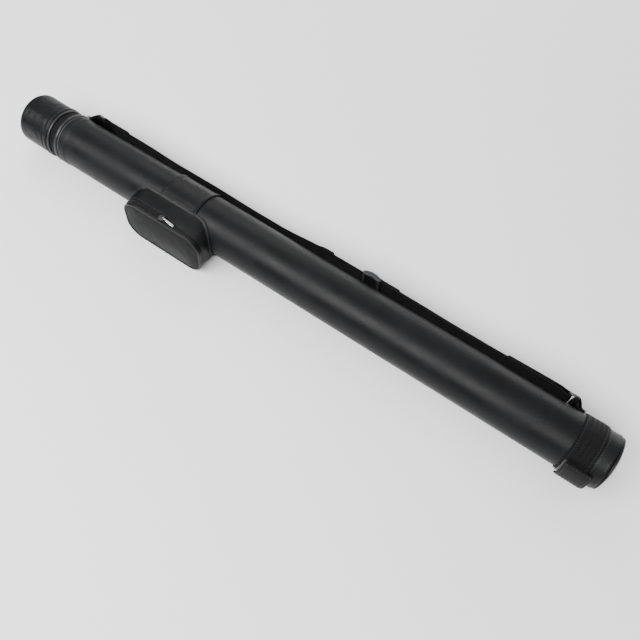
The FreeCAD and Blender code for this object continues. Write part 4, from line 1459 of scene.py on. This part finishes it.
def coat_cad_pieces():
    """Finishes of the stiff inner pieces that show only when the case is open."""
    for node, finish_name in (
        ("tube_core", "core_board"), ("neck_tube", "neck_plastic"),
        ("mouth_plate", "neck_plastic"), ("base_plug", "core_board"),
        ("lid_shell", "neck_plastic"), ("foam_core", "foam"), ("bottom_pads", "felt"),
    ):
        coat(node, finish_name)


# ---------------------------------------------------------------- studio

# Name, place in metres, length and width in metres, and power in watts
LIGHTS = (
    ("key", (-0.45, -0.98, 1.42), (2.4, 0.85), 70.0),
    ("fill", (-0.9, 1.2, 1.1), (1.2, 1.0), 12.0),
    ("rim", (0.2, 1.6, 0.35), (1.8, 0.4), 12.0),
)
FLOOR_GAP = 0.0002
CAMERA_LENS, CAMERA_SENSOR = 37.09, 36.0
CAMERA_PITCH, CAMERA_TURN = 64.92, 34.49


def studio_air():
    """Soft white air that is bright overhead and dim towards the walls."""
    world = bpy.data.worlds.new("studio_air")
    world.use_nodes = True
    nodes, links = world.node_tree.nodes, world.node_tree.links
    way = nodes.new("ShaderNodeTexCoord")
    height = nodes.new("ShaderNodeSeparateXYZ")
    glow = nodes.new("ShaderNodeMapRange")
    glow.interpolation_type = "SMOOTHSTEP"
    for index, value in enumerate((0.2, 0.98, 0.24, 1.0), start=1):
        glow.inputs[index].default_value = value
    links.new(way.outputs["Generated"], height.inputs[0])
    links.new(height.outputs["Z"], glow.inputs[0])
    links.new(glow.outputs[0], nodes["Background"].inputs["Strength"])
    nodes["Background"].inputs["Color"].default_value = (1.0, 1.0, 1.0, 1.0)
    return world


def build_stage():
    """The pale floor, the lights above it and the camera."""
    shape = bmesh.new()
    bmesh.ops.create_grid(shape, x_segments=8, y_segments=8, size=6.0)
    mesh = bpy.data.meshes.new("studio_floor")
    shape.to_mesh(mesh)
    shape.free()
    mesh.materials.append(material("floor"))
    floor = bpy.data.objects.new("studio_floor", mesh)
    floor.location.z = -FLOOR_GAP
    bpy.context.scene.collection.objects.link(floor)

    bpy.context.scene.world = studio_air()

    for name, place, size, power in LIGHTS:
        data = bpy.data.lights.new(name, "AREA")
        data.shape = "RECTANGLE"
        data.size, data.size_y = size
        data.energy = power
        lamp = bpy.data.objects.new(name, data)
        lamp.location = place
        aim = Vector((place[0] * 0.6, 0.0, 0.0)) - Vector(place)
        lamp.rotation_euler = aim.to_track_quat("-Z", "Y").to_euler()
        bpy.context.scene.collection.objects.link(lamp)

    data = bpy.data.cameras.new("camera")
    data.lens, data.sensor_width = CAMERA_LENS, CAMERA_SENSOR
    data.clip_start = 0.01
    camera = bpy.data.objects.new("camera", data)
    camera.location = at(672.9, -303.0, 695.6)
    camera.rotation_euler = (math.radians(90 - CAMERA_PITCH), 0.0, math.radians(CAMERA_TURN))
    bpy.context.scene.collection.objects.link(camera)
    bpy.context.scene.camera = camera


# ---------------------------------------------------------------- operators and panel

class BuildTube(bpy.types.Operator):
    """Build the tube's cover, its mouth and its linings"""

    bl_idname = "cue_case.tube"
    bl_label = "Tube and mouth"
    bl_options = {"REGISTER", "UNDO"}

    def execute(self, context):
        build_tube_cover()
        build_mouth()
        return {"FINISHED"}


class BuildBase(bpy.types.Operator):
    """Build the closed end with its piping"""

    bl_idname = "cue_case.base"
    bl_label = "Closed end"
    bl_options = {"REGISTER", "UNDO"}

    def execute(self, context):
        build_base()
        return {"FINISHED"}


class BuildBand(bpy.types.Operator):
    """Build the webbing band, its hook tape and its tail"""

    bl_idname = "cue_case.band"
    bl_label = "Webbing band"
    bl_options = {"REGISTER", "UNDO"}

    def execute(self, context):
        build_band()
        return {"FINISHED"}


class BuildLid(bpy.types.Operator):
    """Build the pull-off lid"""

    bl_idname = "cue_case.lid"
    bl_label = "Lid"
    bl_options = {"REGISTER", "UNDO"}

    def execute(self, context):
        build_lid()
        return {"FINISHED"}


class BuildStrap(bpy.types.Operator):
    """Build the shoulder strap with its tabs, rings and adjuster"""

    bl_idname = "cue_case.strap"
    bl_label = "Shoulder strap"
    bl_options = {"REGISTER", "UNDO"}

    def execute(self, context):
        build_strap()
        build_tabs()
        build_rings()
        build_adjuster()
        return {"FINISHED"}


class BuildPouch(bpy.types.Operator):
    """Build the pouch and the sleeve that holds it"""

    bl_idname = "cue_case.pouch"
    bl_label = "Pouch"
    bl_options = {"REGISTER", "UNDO"}

    def execute(self, context):
        build_sleeve()
        build_pouch_gusset()
        build_flap_gusset()
        build_pouch_front()
        return {"FINISHED"}


class BuildZip(bpy.types.Operator):
    """Build the zip's tapes, coil, slider and pull"""

    bl_idname = "cue_case.zip"
    bl_label = "Zip"
    bl_options = {"REGISTER", "UNDO"}

    def execute(self, context):
        build_zip()
        build_zip_slider()
        return {"FINISHED"}


class CoatInside(bpy.types.Operator):
    """Give the stiff inner pieces their finishes"""

    bl_idname = "cue_case.inside"
    bl_label = "Inner pieces"
    bl_options = {"REGISTER", "UNDO"}

    def execute(self, context):
        coat_cad_pieces()
        return {"FINISHED"}


class BuildStage(bpy.types.Operator):
    """Build the floor, the lights and the camera"""

    bl_idname = "cue_case.stage"
    bl_label = "Studio"
    bl_options = {"REGISTER", "UNDO"}

    def execute(self, context):
        build_stage()
        return {"FINISHED"}


OPERATORS = (BuildTube, BuildBase, BuildBand, BuildLid, BuildStrap, BuildPouch, BuildZip,
             CoatInside, BuildStage)


class CueCasePanel(bpy.types.Panel):
    """Buttons and settings of the cue case"""

    bl_idname = "VIEW3D_PT_cue_case"
    bl_label = "Cue case"
    bl_space_type = "VIEW_3D"
    bl_region_type = "UI"
    bl_category = "Cue case"

    def draw(self, context):
        for group in (context.scene.cue_case_sizes, context.scene.cue_case_colours):
            box = self.layout.box()
            for key in group.bl_rna.properties.keys():
                if key not in ("rna_type", "name"):
                    box.prop(group, key)
        for operator in OPERATORS:
            self.layout.operator(operator.bl_idname)


CLASSES = (CueCaseSizes, CueCaseColours, *OPERATORS, CueCasePanel)


def register():
    for each in CLASSES:
        bpy.utils.register_class(each)
    bpy.types.Scene.cue_case_sizes = PointerProperty(type=CueCaseSizes)
    bpy.types.Scene.cue_case_colours = PointerProperty(type=CueCaseColours)


def unregister():
    del bpy.types.Scene.cue_case_colours
    del bpy.types.Scene.cue_case_sizes
    for each in reversed(CLASSES):
        bpy.utils.unregister_class(each)


def main():
    register()
    for operator in OPERATORS:
        group, name = operator.bl_idname.split(".")
        if getattr(getattr(bpy.ops, group), name)() != {"FINISHED"}:
            raise RuntimeError(f"{operator.bl_label} was not built")


if __name__ == "__main__":
    main()
